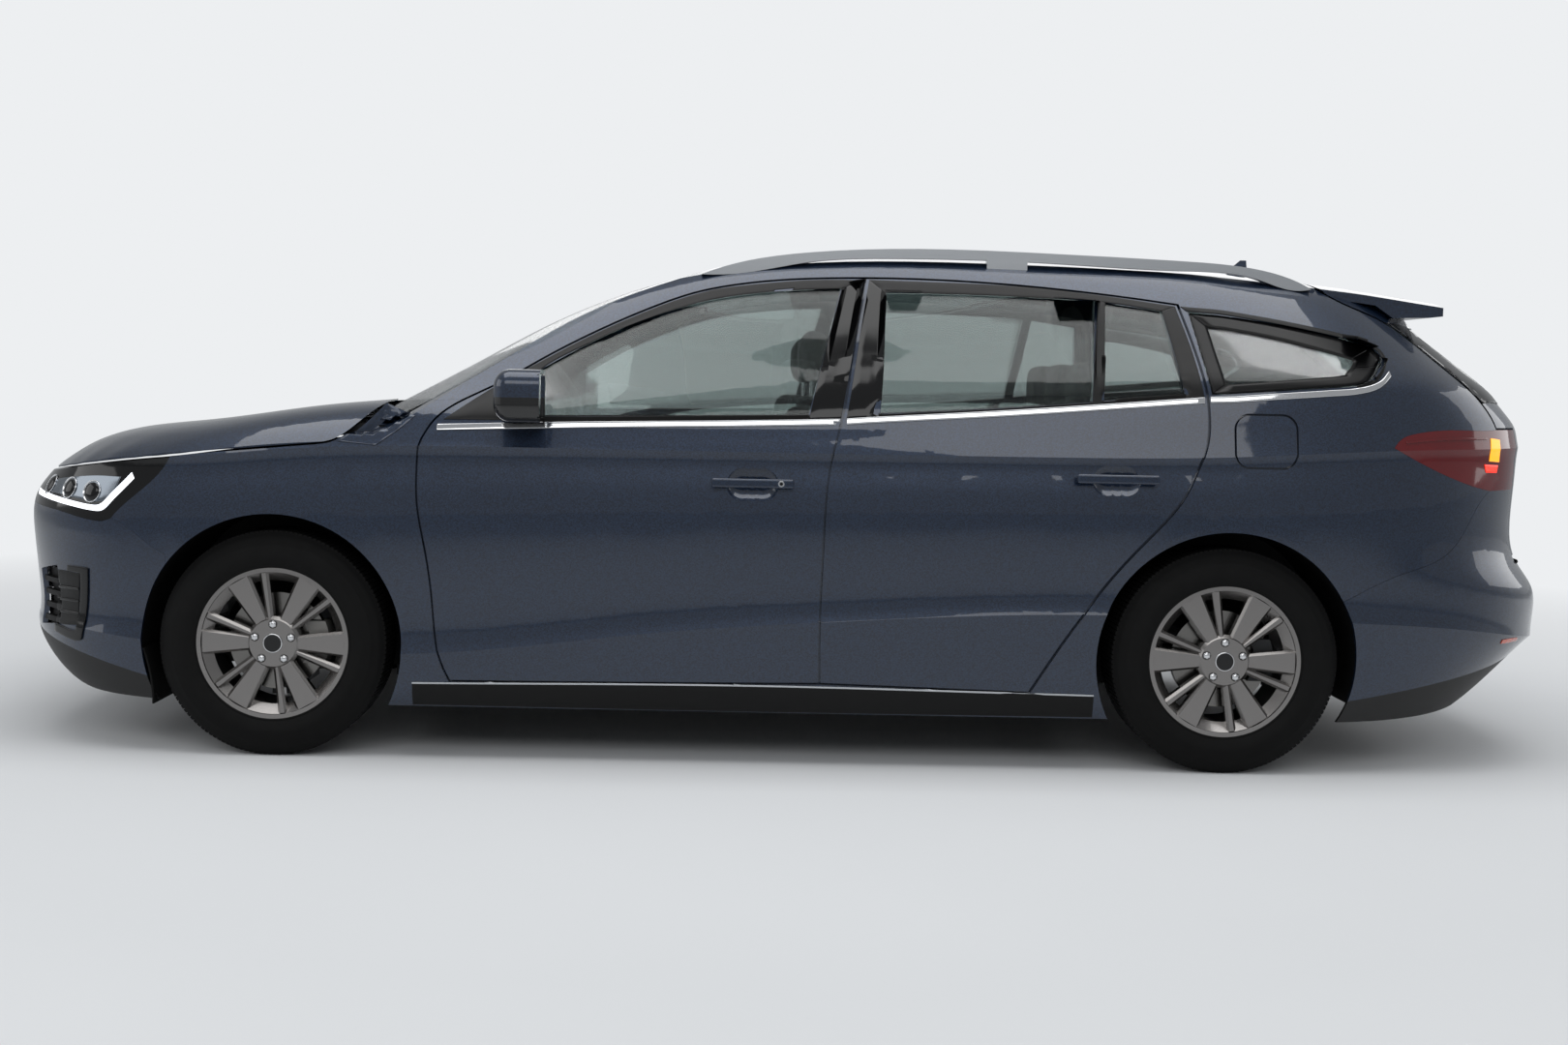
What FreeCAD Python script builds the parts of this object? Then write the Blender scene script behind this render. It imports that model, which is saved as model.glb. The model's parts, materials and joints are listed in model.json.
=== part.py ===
import FreeCAD, Part
import math
import os
from FreeCAD import Vector

# Compact family estate car, millimetres.
# X runs to the rear, Y to the car's right, Z up from the ground.

# Driving dimensions
WHEELBASE = 2700.0
FRONT_OVERHANG = 870.0
REAR_OVERHANG = 1100.0
BODY_HALF_WIDTH = 910.0
BODY_HEIGHT = 1480.0
SIDE_BULGE = 4.0
BODY_LENGTH = FRONT_OVERHANG + WHEELBASE + REAR_OVERHANG
NOSE_X = -BODY_LENGTH / 2
TAIL_X = BODY_LENGTH / 2
FRONT_AXLE_X = NOSE_X + FRONT_OVERHANG
REAR_AXLE_X = FRONT_AXLE_X + WHEELBASE

# Walls, depths and gaps of the body
SKIN_WALL = 12.0
DOOR_DEPTH = 95.0
DOOR_UPPER_DEPTH = 36.0
SILL_DEPTH = 110.0
PILLAR_DEPTH = 62.0
PANEL_GAP = 6.0
HINGE_SIDE_GAP = 8.0
REBATE_GAP = 5.5
REBATE_DEPTH = SKIN_WALL + REBATE_GAP
SEAT_GAP = 0.4
SEAM_GAP = 0.9
GLASS_WALL = 4.5
GLASS_SINK = 5.0
FRAME_OVERLAP = 14.0
APERTURE_GAP = 10.0
OVERRUN = 60.0
LEAST_SIDE = 12.5

# Door panels: how far the inner body stands back at the front, sill, rear and top
DOOR_FRONT_INSET = 34.0
DOOR_SILL_INSET = 70.0
DOOR_MIDDLE_INSET = 64.0
DOOR_BACK_INSET = 40.0

# Door hinges: leaves on the pillars in round slots of the doors
LEAF_ROOT = 20.0
LEAF_REACH = 46.0
LEAF_SINK = 34.0
LEAF_DEPTH = 30.0
LEAF_HEIGHT = 24.0
LEAF_LOW_HEIGHT = 330.0
LEAF_TOP_HEIGHT = 720.0
LEAF_SWING_GAP = 6.0

# Door handles
HANDLE_LENGTH = 230.0
HANDLE_HEIGHT = 26.0
HANDLE_WALL = 14.0
HANDLE_REACH = 36.0
HANDLE_POST = 22.0
HANDLE_ROUND = 6.0
CUP_RADIUS = 60.0
CUP_DEPTH = 18.0
CUP_STEP = 26.0

# Windscreen, roof and rails
SCREEN_HALF_WIDTH = 600.0
WINDSCREEN_BOW = 105.0
SCREEN_ROOM = 700.0
SCREEN_SEAT = 6.0
ROOF_CROWN = 33.0
ROOF_SEAT = 2.0
ROOF_WALL = 26.0
ROOF_SPLIT_GAP = 7.0
RAIL_MIDDLE_Y = 575.0
RAIL_THICKNESS = 30.0
RAIL_FOOT_LENGTH = 120.0

# Bonnet, cowl and nose
BONNET_SKIN = 4.5
BONNET_PANEL = 22.0
BONNET_EDGE_GAP = 12.0
LAMP_DEPTH = 45.0
BONNET_LIP = LAMP_DEPTH + PANEL_GAP
COWL_GAP = 45.0
COWL_DEPTH = 80.0
COWL_HALF = 835.0
BUMPER_WALL = SKIN_WALL
GRILLE_SINK = 5.0
GRILLE_BACK = 26.0
GRILLE_WALL = 5.0
BAR_PITCH = 38.0
BAR_HEIGHT = 15.0

# Tailgate, spoiler and fuel flap
TAILGATE_DEPTH = 42.0
SPOILER_DEPTH = 130.0
TAIL_LEAF_Y = 300.0
TAIL_LEAF_WIDTH = 30.0
TAIL_LEAF_REACH = 42.0
TAIL_LEAF_WALL = 12.0
TAIL_LEAF_LIFT = 3.0
TAIL_LEAF_GAP = 3.0
TAIL_AXIS_HEIGHT = 1440.0
FUEL_FLAP_WIDTH = 168.0
FUEL_FLAP_HEIGHT = 144.0
FUEL_FLAP_CORNER = 38.0
FLAP_REST_WIDTH = 20.0
FLAP_REST_ROOT = 3.0

# Wheels and brakes
TYRE_RADIUS = 320.0
TYRE_WIDTH = 205.0
WHEEL_HEIGHT = TYRE_RADIUS
RIM_RADIUS = 203.0
TRACK_HALF = 786.0
ARCH_RADIUS = 370.0
KINGPIN_OFFSET = 35.0
HUB_OFFSET = 50.0
SPOKE_COUNT = 6
RIM_WALL = 9.0
RIM_LIP = 12.0
RIM_SINK = 12.0
BEAD_DEPTH = 17.0
HUB_RADIUS = 76.0
HUB_THICKNESS = 34.0
LUG_CIRCLE = 108.0
LUG_COUNT = 5
LUG_BORE = 12.5
THICK_SPOKE_IN = 44.0
THICK_SPOKE_OUT = 74.0
THIN_SPOKE_IN = 20.0
THIN_SPOKE_OUT = 26.0
THIN_SPOKE_ANGLE = 22.0
SPOKE_DEPTH = 30.0
SPOKE_BEVEL = 7.0
SPOKE_TIP_GAP = 2.0
DISC_RADIUS = 139.0
DISC_WALL = 22.0
DISC_OFFSET = 4.0
DISC_GAP = 4.0
HAT_RADIUS = 70.0

# Knuckles, calipers and hub carriers
KNUCKLE_RADIUS = 52.0
KNUCKLE_DEPTH = 50.0
CALIPER_HEIGHT = 120.0
CALIPER_DEPTH = 76.0
CALIPER_WALL = 14.0
CALIPER_RISE = 12.0
PAD_REACH = 42.0
CALIPER_START = 60.0
BRIDGE_SETBACK = 14.0
BRIDGE_DEPTH = 24.0
BRIDGE_HEIGHT = 68.0
BRIDGE_STOP = 20.0
LEG_WIDTH = 40.0
LEG_DEPTH = 40.0
BALL_DROP = 112.0
STUD_RADIUS = 12.0
DISC_BACK_Y = TRACK_HALF + DISC_OFFSET
KINGPIN_Y = TRACK_HALF - KINGPIN_OFFSET

# Floor, bulkheads and rails under the bonnet
FLOOR_BOTTOM = 172.0
FLOOR_WALL = 22.0
FLOOR_TOP = FLOOR_BOTTOM + FLOOR_WALL
SEAT_PAN_TOP = 347.0
LOAD_FLOOR_TOP = 560.0
CABIN_HALF = 850.0
TUNNEL_HALF = 110.0
TUNNEL_TOP = 290.0
BACK_WALL_FOOT = 260.0
BACK_WALL_HALF = 730.0
CHASSIS_RAIL_Y = 400.0
CHASSIS_RAIL_WIDTH = 80.0
CHASSIS_RAIL_LOW = 400.0
CHASSIS_RAIL_HEIGHT = 100.0
CRASH_BEAM_HALF = 620.0
POST_RADIUS = 24.0
POST_INSET = 40.0
LIFT_FRONT_X = -850.0
LIFT_REAR_X = 550.0
LIFT_Y = 620.0
LIFT_LENGTH = 100.0
LIFT_WIDTH = 60.0
LIFT_HEIGHT = 12.0

# Wheelhouse liners
LINER_ROOM = 16.0
LINER_WALL = 6.0
LINER_GAP = 4.0
LINER_FOOT = 205.0
LINER_TAIL_GAP = 6.0
FRONT_HOUSE_Y = 470.0
REAR_HOUSE_Y = 540.0
LINER_SETBACK = 8.0
AXLE_NOTCH_HALF = 200.0
AXLE_NOTCH_RISE = 60.0

# Running gear that the body carries
SUBFRAME_AHEAD = 120.0
SUBFRAME_BEHIND = 130.0
SUBFRAME_HALF = 435.0
SUBFRAME_LOW = 180.0
SUBFRAME_TOP = 250.0
ARM_LOW = 160.0
ARM_TOP = 182.0
ARM_HALF_LENGTH = 26.0
ARM_TIP = 20.0
BEAM_RADIUS = 38.0
BEAM_SETBACK = 40.0
BEAM_DROP = 40.0
BEAM_END = 46.0
TRAIL_ARM_Y = 480.0
TRAIL_ARM_WIDTH = 50.0
TRAIL_ARM_HEIGHT = 40.0
TRAIL_BUSH_X = 800.0
TRAIL_BUSH_RADIUS = 32.0
TRAIL_BUSH_LENGTH = 70.0
ENGINE_AHEAD = 330.0
ENGINE_BEHIND = 150.0
ENGINE_HALF = 335.0
ENGINE_LOW = 270.0
ENGINE_TOP = 800.0
ENGINE_MOUNT_RADIUS = 40.0

# Exhaust
PIPE_RADIUS = 26.0
PIPE_HEIGHT = 200.0
DOWN_PIPE_TOP = 600.0
SILENCER_X = 1760.0
SILENCER_LENGTH = 230.0
SILENCER_Y = -120.0
SILENCER_WIDTH = 600.0
SILENCER_LOW = 190.0
SILENCER_HEIGHT = 150.0
SILENCER_ROUND = 45.0
TAIL_PIPE_Y = 420.0
TAIL_PIPE_RADIUS = 22.0
TAIL_PIPE_HEIGHT = 240.0
TAIL_PIPE_LENGTH = 110.0
TAIL_PIPE_DROP = 40.0
HANGER_RADIUS = 8.0

# Front seats
SEAT_MIDDLE_Y = 385.0
SEAT_WIDTH = 510.0
SEAT_FRONT_X = -500.0
SEAT_REAR_X = 20.0
CUSHION_LOW = 330.0
CUSHION_TOP = 480.0
SEAT_BACK_X = -40.0
SEAT_BACK_WALL = 130.0
SEAT_BACK_LOW = 440.0
SEAT_BACK_TOP = 1060.0
SEAT_BACK_INSET = 10.0
SEAT_ROUND = 40.0
HEAD_WALL = 90.0
HEAD_WIDTH = 270.0
HEAD_LOW = 1090.0
HEAD_TOP = 1250.0
HEAD_X = 20.0
HEAD_ROUND = 35.0
NECK_WALL = 30.0
NECK_WIDTH = 50.0
NECK_LOW = 1040.0
NECK_TOP = 1110.0
SEAT_FOOT_WIDTH = 350.0
SEAT_FOOT_INSET = 60.0
SEAT_FOOT_TOP = 340.0

# Rear bench
BENCH_FRONT_X = 330.0
BENCH_REAR_X = 835.0
BENCH_HALF = 640.0
BENCH_TOP = 500.0
BENCH_BACK_X = 790.0
BENCH_BACK_WALL = 150.0
BENCH_BACK_HALF = 540.0
BENCH_BACK_LOW = 450.0
BENCH_BACK_TOP = 1030.0
BENCH_HEAD_Y = 380.0
BENCH_HEAD_WIDTH = 240.0
BENCH_HEAD_WALL = 80.0
BENCH_HEAD_LOW = 1010.0
BENCH_HEAD_TOP = 1170.0
BENCH_HEAD_ROUND = 30.0

# Dashboard, console and steering wheel
DASH_HALF = 730.0
DASH_GAP = 4.0
DASH_SCREEN_GAP = 14.0
CONSOLE_HALF = 110.0
CONSOLE_TOP = 520.0
CONSOLE_FRONT_TOP = 700.0
STEERING_TILT = 24.0
STEERING_X = -640.0
STEERING_Y = -380.0
STEERING_Z = 860.0
STEERING_RADIUS = 182.0
GRIP_RADIUS = 15.0
BOSS_RADIUS = 60.0
BOSS_BACK = 50.0
BOSS_LENGTH = 60.0
BAR_WALL = 24.0
BAR_WIDTH = 36.0
COLUMN_RADIUS = 32.0
COLUMN_LENGTH = 220.0

# Door mirrors
MIRROR_FRONT_X = -836.0
MIRROR_REAR_X = -705.0
MIRROR_OUTER_Y = 1010.0
MIRROR_INNER_Y = 850.0
MIRROR_LOW = 962.0
MIRROR_TOP = 1108.0
MIRROR_ROUND = 48.0
MIRROR_RIM = 12.0
MIRROR_SINK = 8.0
STALK_FRONT_X = -820.0
STALK_REAR_X = -740.0
STALK_INNER_Y = 780.0
STALK_OUTER_Y = 885.0
STALK_LOW = 975.0
STALK_TOP = 1010.0

# Shape of the plan loops
CORNER_POWER = 3.0
SHARP_TURN_SHARE = 0.3

# Feature lines along the side, as (station, height share)
FLOOR_LINE_SHARES = ((0.0, 0.200), (0.054, 0.180), (0.08, 0.160), (0.177, 0.124), (0.298, 0.101),
                     (2.30, 0.101), (2.60, 0.110), (2.80, 0.125), (3.0, 0.135))
CATCH_LINE_SHARES = ((0.0, 0.250), (0.30, 0.235), (0.80, 0.210), (1.130, 0.203), (1.324, 0.241),
                     (1.576, 0.280), (1.788, 0.303), (2.2, 0.300), (2.6, 0.285), (3.0, 0.240))
SHOULDER_LINE_SHARES = ((0.0, 0.526), (0.15, 0.530), (0.278, 0.540), (0.414, 0.552), (0.661, 0.568),
                        (1.019, 0.589), (1.170, 0.600), (1.481, 0.601), (1.784, 0.602),
                        (2.045, 0.611), (2.430, 0.627), (2.727, 0.632), (3.0, 0.634))
BELT_LINE_SHARES = ((0.0, 0.560), (0.661, 0.600), (1.093, 0.634), (1.320, 0.644), (1.594, 0.657),
                    (1.857, 0.695), (1.970, 0.716), (2.233, 0.735), (2.5, 0.742), (2.727, 0.726),
                    (3.0, 0.690))
EDGE_LINE_SHARES = ((0.0, 0.840), (1.20, 0.840), (1.30, 0.880), (1.365, 0.916), (1.42, 0.940),
                    (1.481, 0.959), (1.550, 0.973), (1.626, 0.981), (1.821, 0.978),
                    (1.968, 0.968), (2.104, 0.957), (2.282, 0.944), (2.455, 0.930), (2.636, 0.910),
                    (3.0, 0.905))

# Rows of the body wrap: line below, line above, share between, half-width, nose and tail shares
WRAP_ROW_SHARES = (
    ("floor", "catch", 0.00, 0.955, 0.800, 0.800),
    ("floor", "catch", 0.45, 0.982, 0.962, 0.905),
    ("floor", "catch", 0.85, 0.993, 0.985, 0.972),
    ("catch", "shoulder", 0.00, 1.000, 0.978, 0.995),
    ("catch", "shoulder", 0.10, 0.991, 0.978, 1.000),
    ("catch", "shoulder", 0.26, 0.994, 0.984, 0.993),
    ("catch", "shoulder", 0.38, 0.999, 0.989, 0.945),
    ("catch", "shoulder", 0.60, 1.001, 1.000, 0.920),
    ("catch", "shoulder", 0.84, 0.992, 0.990, 0.930),
    ("catch", "shoulder", 0.96, 0.984, 0.950, 0.936),
    ("catch", "shoulder", 1.00, 0.988, 0.930, 0.938),
    ("shoulder", "belt", 0.12, 0.983, 0.930, 0.936),
    ("shoulder", "belt", 0.55, 0.969, 0.930, 0.927),
    ("shoulder", "belt", 1.00, 0.954, 0.930, 0.885),
    ("belt", "edge", 0.06, 0.946, 0.930, 0.872),
    ("belt", "edge", 0.30, 0.882, 0.930, 0.800),
    ("belt", "edge", 0.60, 0.790, 0.930, 0.708),
    ("belt", "edge", 0.82, 0.715, 0.930, 0.650),
    ("belt", "edge", 0.94, 0.662, 0.930, 0.636),
    ("belt", "edge", 1.00, 0.622, 0.930, 0.630),
)
SHOULDER_SPAN = 4
ALL_SEAMS = (0, 3, 10, 19)
LOWER_SEAMS = (0, 3, 10)

# Door shut lines and other outlines, as (station, height share)
FRONT_DOOR_SHARES = ((1.159, 0.625), (1.153, 0.595), (1.152, 0.568), (1.154, 0.480), (1.161, 0.414),
                     (1.169, 0.319), (1.176, 0.211), (1.188, 0.155))
FRONT_DOOR_SILL_SHARES = ((1.188, 0.155), (1.375, 0.158), (1.575, 0.163))
MIDDLE_LINE_SHARES = ((1.575, 0.163), (1.574, 0.293), (1.576, 0.429), (1.583, 0.590),
                      (1.592, 0.657), (1.603, 0.765), (1.620, 0.943))
FRONT_DOOR_TOP_SHARES = ((1.620, 0.943), (1.550, 0.939), (1.475, 0.924), (1.437, 0.909),
                         (1.393, 0.880), (1.328, 0.825), (1.271, 0.767), (1.223, 0.714),
                         (1.164, 0.641), (1.159, 0.625))
REAR_DOOR_TOP_SHARES = ((1.620, 0.943), (1.770, 0.936), (1.866, 0.921), (1.954, 0.901))
REAR_DOOR_BACK_SHARES = ((1.954, 0.901), (1.965, 0.811), (1.972, 0.718), (1.971, 0.632),
                         (1.963, 0.590), (1.947, 0.530), (1.924, 0.477), (1.897, 0.424),
                         (1.866, 0.355), (1.828, 0.256), (1.793, 0.153))
REAR_DOOR_SILL_SHARES = ((1.793, 0.153), (1.575, 0.163))

# Places along the plan loops
SIDE_PLACE_SHARES = (0.30, 1.0, 2.0, 2.96)
SIDE_PLACE_COUNTS = (8, 6, 11)
NOSE_PLACE_SHARES = (-1.3, 1.3)
NOSE_PLACE_COUNT = 23
TAIL_PLACE_SHARES = (1.9, 4.1)
TAIL_PLACE_COUNT = 21

# Windscreen, roof and bonnet
WINDSCREEN_SHARES = ((0.600, 0.995), (0.676, 1.080), (0.723, 1.127), (0.767, 1.172), (0.818, 1.222),
                     (0.881, 1.291), (0.923, 1.353), (0.947, 1.392), (0.990, 1.480))
SCREEN_SPAN_SHARES = (0.62, 0.985)
SCREEN_COUNT = 9
ROOF_EDGE_SHARE = 0.622
ROOF_PLACE_SHARES = (1.30, 1.36, 1.42, 1.48, 1.55, 1.65, 1.8, 1.95, 2.1, 2.25, 2.4, 2.52, 2.64)
ROOF_WIDTH_COUNT = 11
BONNET_CROWN_SHARES = ((0.0, 0.592), (0.414, 0.622), (0.777, 0.645), (1.019, 0.670), (1.10, 0.686),
                       (1.2, 0.700))
BONNET_PLACE_SHARES = (0.05, 0.10, 0.15, 0.2, 0.26, 0.33, 0.42, 0.56, 0.72, 0.9, 1.02, 1.09, 1.14)
BONNET_WIDTH_SHARES = (-1.0, -0.96, -0.91, -0.85, -0.78, -0.7, -0.6, -0.45, -0.22, 0, 0.22, 0.45, 0.6,
                       0.7, 0.78, 0.85, 0.91, 0.96, 1.0)
BONNET_NOSE_SHARE = 0.930
BONNET_WIDTH_SHARE = 0.988
BONNET_POWER_NOSE = 6.0
BONNET_POWER_COWL = 12.0
REACH_LIMIT_SHARE = 1.06
COWL_SHARE = 1.112
COWL_LOW_SHARE = 0.618
COWL_TOP_SHARE = 0.640
GLASS_SIDE_SHARES = ((0.846, 0.640), (0.840, 0.676), (0.806, 0.743), (0.752, 0.811), (0.695, 0.868),
                     (0.640, 0.912), (0.40, 0.930), (0.0, 0.936))
RAIL_TOP_SHARES = ((1.44, 0.948), (1.475, 0.970), (1.56, 0.996), (1.65, 1.006), (1.82, 1.003),
                   (1.97, 0.993), (2.12, 0.980), (2.22, 0.960), (2.27, 0.942))
RAIL_LOW_SHARES = ((2.27, 0.942), (2.21, 0.940), (2.12, 0.961), (1.97, 0.974), (1.82, 0.984),
                   (1.65, 0.987), (1.56, 0.977), (1.485, 0.952), (1.44, 0.948))
FIN_SIDE_SHARES = ((2.168, 0.955), (2.174, 0.985), (2.190, 1.008), (2.222, 1.028), (2.240, 1.028),
                   (2.246, 0.955))
FIN_FRONT_SHARES = ((-0.021, 0.95), (0.021, 0.95), (0.005, 1.03), (-0.005, 1.03))

# Openings and panels in the side view
FRONT_GLASS_SHARES = (((1.269, 0.660), (1.273, 0.751)),
                      ((1.273, 0.751), (1.329, 0.810), (1.401, 0.868), (1.475, 0.903), (1.550, 0.918),
                       (1.592, 0.922)),
                      ((1.592, 0.922), (1.570, 0.765), (1.557, 0.672)),
                      ((1.557, 0.672), (1.400, 0.665), (1.269, 0.660)))
REAR_GLASS_SHARES = (((1.640, 0.915), (1.750, 0.914), (1.866, 0.907)),
                     ((1.866, 0.907), (1.853, 0.708)),
                     ((1.853, 0.708), (1.750, 0.692), (1.632, 0.678)),
                     ((1.632, 0.678), (1.636, 0.800), (1.640, 0.915)))
FIXED_GLASS_SHARES = (((1.877, 0.904), (1.937, 0.889)), ((1.937, 0.889), (1.950, 0.726)),
                      ((1.950, 0.726), (1.865, 0.711)), ((1.865, 0.711), (1.877, 0.904)))
QUARTER_GLASS_SHARES = (((1.965, 0.889), (2.137, 0.869), (2.314, 0.843)),
                        ((2.314, 0.843), (2.395, 0.824), (2.412, 0.806), (2.395, 0.785)),
                        ((2.395, 0.785), (2.365, 0.762), (2.320, 0.748)),
                        ((2.320, 0.748), (2.150, 0.738), (1.978, 0.726)),
                        ((1.978, 0.726), (1.965, 0.889)))
HEADLAMP_SHARES = (((0.00, 0.470), (0.138, 0.464), (0.278, 0.456), (0.372, 0.446), (0.436, 0.443)),
                   ((0.436, 0.443), (0.468, 0.449)),
                   ((0.468, 0.449), (0.526, 0.482), (0.593, 0.515), (0.668, 0.569)),
                   ((0.668, 0.569), (0.668, 0.70)), ((0.668, 0.70), (0.00, 0.70)),
                   ((0.00, 0.70), (0.00, 0.470)))
FENDER_FRONT_SHARES = ((0.668, 0.569), (0.593, 0.515), (0.526, 0.482), (0.468, 0.449))
FENDER_BUMPER_SHARES = ((0.468, 0.449), (0.540, 0.430), (0.593, 0.407), (0.660, 0.385))
FUEL_FLAP_MIDDLE_SHARE = (2.083, 0.640)
REAR_BUMPER_SHARES = ((2.245, 0.318), (2.307, 0.342), (2.439, 0.389), (2.576, 0.428), (2.631, 0.470),
                      (2.682, 0.527), (2.718, 0.550))
TAIL_LAMP_LOW_SHARES = ((2.718, 0.550), (2.592, 0.574), (2.480, 0.609), (2.418, 0.632))
TAIL_LAMP_TOP_SHARES = ((2.418, 0.632), (2.440, 0.650), (2.486, 0.661), (2.591, 0.668), (2.740, 0.669))
TAILGATE_SIDE_SHARES = ((2.740, 0.669), (2.695, 0.720), (2.645, 0.757), (2.577, 0.807), (2.469, 0.876),
                        (2.332, 0.922), (2.290, 0.946))
LAMP_INNER_SHARE = 0.64
TAILGATE_LOW_SHARE = 0.415
TAILGATE_JOIN_SHARE = 0.70
BUMPER_LEDGE_SHARE = 0.400
ROOF_SPLIT_SHARE = 2.285
SPOILER_LIP_SHARE = 2.636
SPOILER_SHARES = ((2.42, 1.02), (2.70, 1.02), (2.70, 0.900), (2.60, 0.891), (2.50, 0.889), (2.42, 0.930))
REAR_WINDOW_SHARES = ((-0.60, 0.715), (0.60, 0.715), (0.55, 0.872), (-0.55, 0.872))
REAR_GLASS_WIDTH_SHARE = 0.998
BONNET_SIDE_SHARES = ((0.668, 0.569), (0.892, 0.585), (1.039, 0.598), (1.063, 0.606), (1.087, 0.639),
                      (1.110, 0.680))
FENDER_REGION = (BONNET_SIDE_SHARES, ((1.110, 0.680), (1.20, 0.691)), ((1.20, 0.691), (1.30, 0.60)),
                 ((1.30, 0.60), (1.30, 0.17)), ((1.30, 0.17), (1.183, 0.157)),
                 ((1.183, 0.157), (1.183, 0.09)), ((1.183, 0.09), (0.66, 0.09)),
                 ((0.66, 0.09), (0.660, 0.385)), tuple(reversed(FENDER_BUMPER_SHARES)),
                 tuple(reversed(FENDER_FRONT_SHARES)))
FRAME_REGION = (TAILGATE_SIDE_SHARES, ((2.290, 0.946), (2.290, 1.02)), ((2.290, 1.02), (1.0, 1.02)),
                ((1.0, 1.02), (1.0, 0.66)), ((1.0, 0.66), (1.105, 0.66)),
                ((1.105, 0.66), (1.105, 0.09)), ((1.105, 0.09), (2.30, 0.09)),
                ((2.30, 0.09), (2.30, 0.25)), ((2.30, 0.25), (2.70, 0.38)),
                ((2.70, 0.38), (2.740, 0.669)))
REAR_BUMPER_REGION = (REAR_BUMPER_SHARES, ((2.718, 0.550), (3.05, 0.550)), ((3.05, 0.550), (3.05, 0.05)),
                      ((3.05, 0.05), (2.245, 0.05)), ((2.245, 0.05), (2.245, 0.318)))
TAIL_LAMP_REGION = (TAIL_LAMP_LOW_SHARES, TAIL_LAMP_TOP_SHARES, ((2.740, 0.669), (3.05, 0.669)),
                    ((3.05, 0.669), (3.05, 0.550)), ((3.05, 0.550), (2.718, 0.550)))
BONNET_ROOM_SHARES = (BONNET_SIDE_SHARES, ((1.110, 0.680), (1.110, 0.90)), ((1.110, 0.90), (-0.1, 0.90)),
                      ((-0.1, 0.90), (-0.1, 0.45)), ((-0.1, 0.45), (0.60, 0.45)),
                      ((0.60, 0.45), (0.668, 0.569)))
BUMPER_SIDE_SHARES = (FENDER_BUMPER_SHARES, ((0.660, 0.385), (0.660, 0.05)), ((0.660, 0.05), (-0.1, 0.05)),
                      ((-0.1, 0.05), (-0.1, 0.70)), ((-0.1, 0.70), (0.468, 0.70)),
                      ((0.468, 0.70), (0.468, 0.449)))
TAILGATE_ROOM_SHARES = (TAILGATE_SIDE_SHARES, ((2.290, 0.946), (2.290, 1.02)), ((2.290, 1.02), (3.05, 1.02)),
                        ((3.05, 1.02), (3.05, 0.669)), ((3.05, 0.669), (2.740, 0.669)))
NOSE_LAMP_SHARE = 0.47
GRILLE_SHARES = ((-0.43, 0.488), (-0.40, 0.506), (0.40, 0.506), (0.43, 0.488), (0.36, 0.325),
                 (-0.36, 0.325))
LOWER_GRILLE_SHARES = ((-0.50, 0.275), (0.50, 0.275), (0.44, 0.195), (-0.44, 0.195))
VENT_SHARES = ((-0.82, 0.350), (-0.70, 0.335), (-0.70, 0.225), (-0.82, 0.235))
TYRE_SHARES = ((0.055, 0.36), (0.10, 0.43), (0.35, 0.50), (0.62, 0.495), (0.84, 0.45), (0.955, 0.385),
               (0.995, 0.28), (1.0, 0.0))

# Handles, floor, dashboard and rails under the bonnet
FRONT_HANDLE_SHARES = (1.500, 0.543)
REAR_HANDLE_SHARES = (1.878, 0.564)
HANDLE_SIDE_SHARE = 0.992
DASH_SHARE = 1.110
HEEL_SHARE = 1.80
RISER_SHARE = 2.0
BACK_WALL_SHARE = 2.80
FIREWALL_SHARE = 0.60
CHASSIS_RAIL_SHARE = 0.20
CRASH_BEAM_SHARES = (0.17, 0.22)
CONSOLE_SHARES = (1.20, 1.55)
CONSOLE_FRONT_SHARES = (1.12, 1.24)
DASH_PROFILE_SHARES = ((1.113, 0.430), (1.113, 0.604), (1.062, 0.606), (1.062, 0.634), (1.160, 0.643),
                       (1.215, 0.640), (1.246, 0.618), (1.256, 0.575), (1.236, 0.505), (1.170, 0.430))

FRONT_DOOR = (FRONT_DOOR_SHARES, FRONT_DOOR_SILL_SHARES, MIDDLE_LINE_SHARES, FRONT_DOOR_TOP_SHARES)
REAR_DOOR = (tuple(reversed(MIDDLE_LINE_SHARES)), tuple(reversed(REAR_DOOR_SILL_SHARES)),
             tuple(reversed(REAR_DOOR_BACK_SHARES)), tuple(reversed(REAR_DOOR_TOP_SHARES)))
DOOR_GAPS = (PANEL_GAP, PANEL_GAP, HINGE_SIDE_GAP, PANEL_GAP)
FRONT_DOOR_GAPS = (0, 0, -PANEL_GAP, 0)
FRONT_INSETS = (-DOOR_FRONT_INSET, -DOOR_SILL_INSET, -DOOR_MIDDLE_INSET, -FRAME_OVERLAP - APERTURE_GAP)
REAR_INSETS = (-DOOR_MIDDLE_INSET, -DOOR_SILL_INSET, -DOOR_BACK_INSET, -FRAME_OVERLAP - APERTURE_GAP)
FRONT_APERTURE = tuple(inset + APERTURE_GAP for inset in FRONT_INSETS)
REAR_APERTURE = tuple(inset + APERTURE_GAP for inset in REAR_INSETS)


def station_x(station):
    """Give the X of a station: 1 is the front axle, 2 the rear axle, 3 the tail."""
    if station < 1:
        return NOSE_X + station * FRONT_OVERHANG
    if station < 2:
        return FRONT_AXLE_X + (station - 1) * WHEELBASE
    return REAR_AXLE_X + (station - 2) * REAR_OVERHANG


def x_station(x):
    """Give the station of an X."""
    if x < FRONT_AXLE_X:
        return (x - NOSE_X) / FRONT_OVERHANG
    if x < REAR_AXLE_X:
        return 1 + (x - FRONT_AXLE_X) / WHEELBASE
    return 2 + (x - REAR_AXLE_X) / REAR_OVERHANG


def at(station, height_share):
    """Give the point on the side view of a station and a height share."""
    return Vector(station_x(station), 0, height_share * BODY_HEIGHT)


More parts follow.
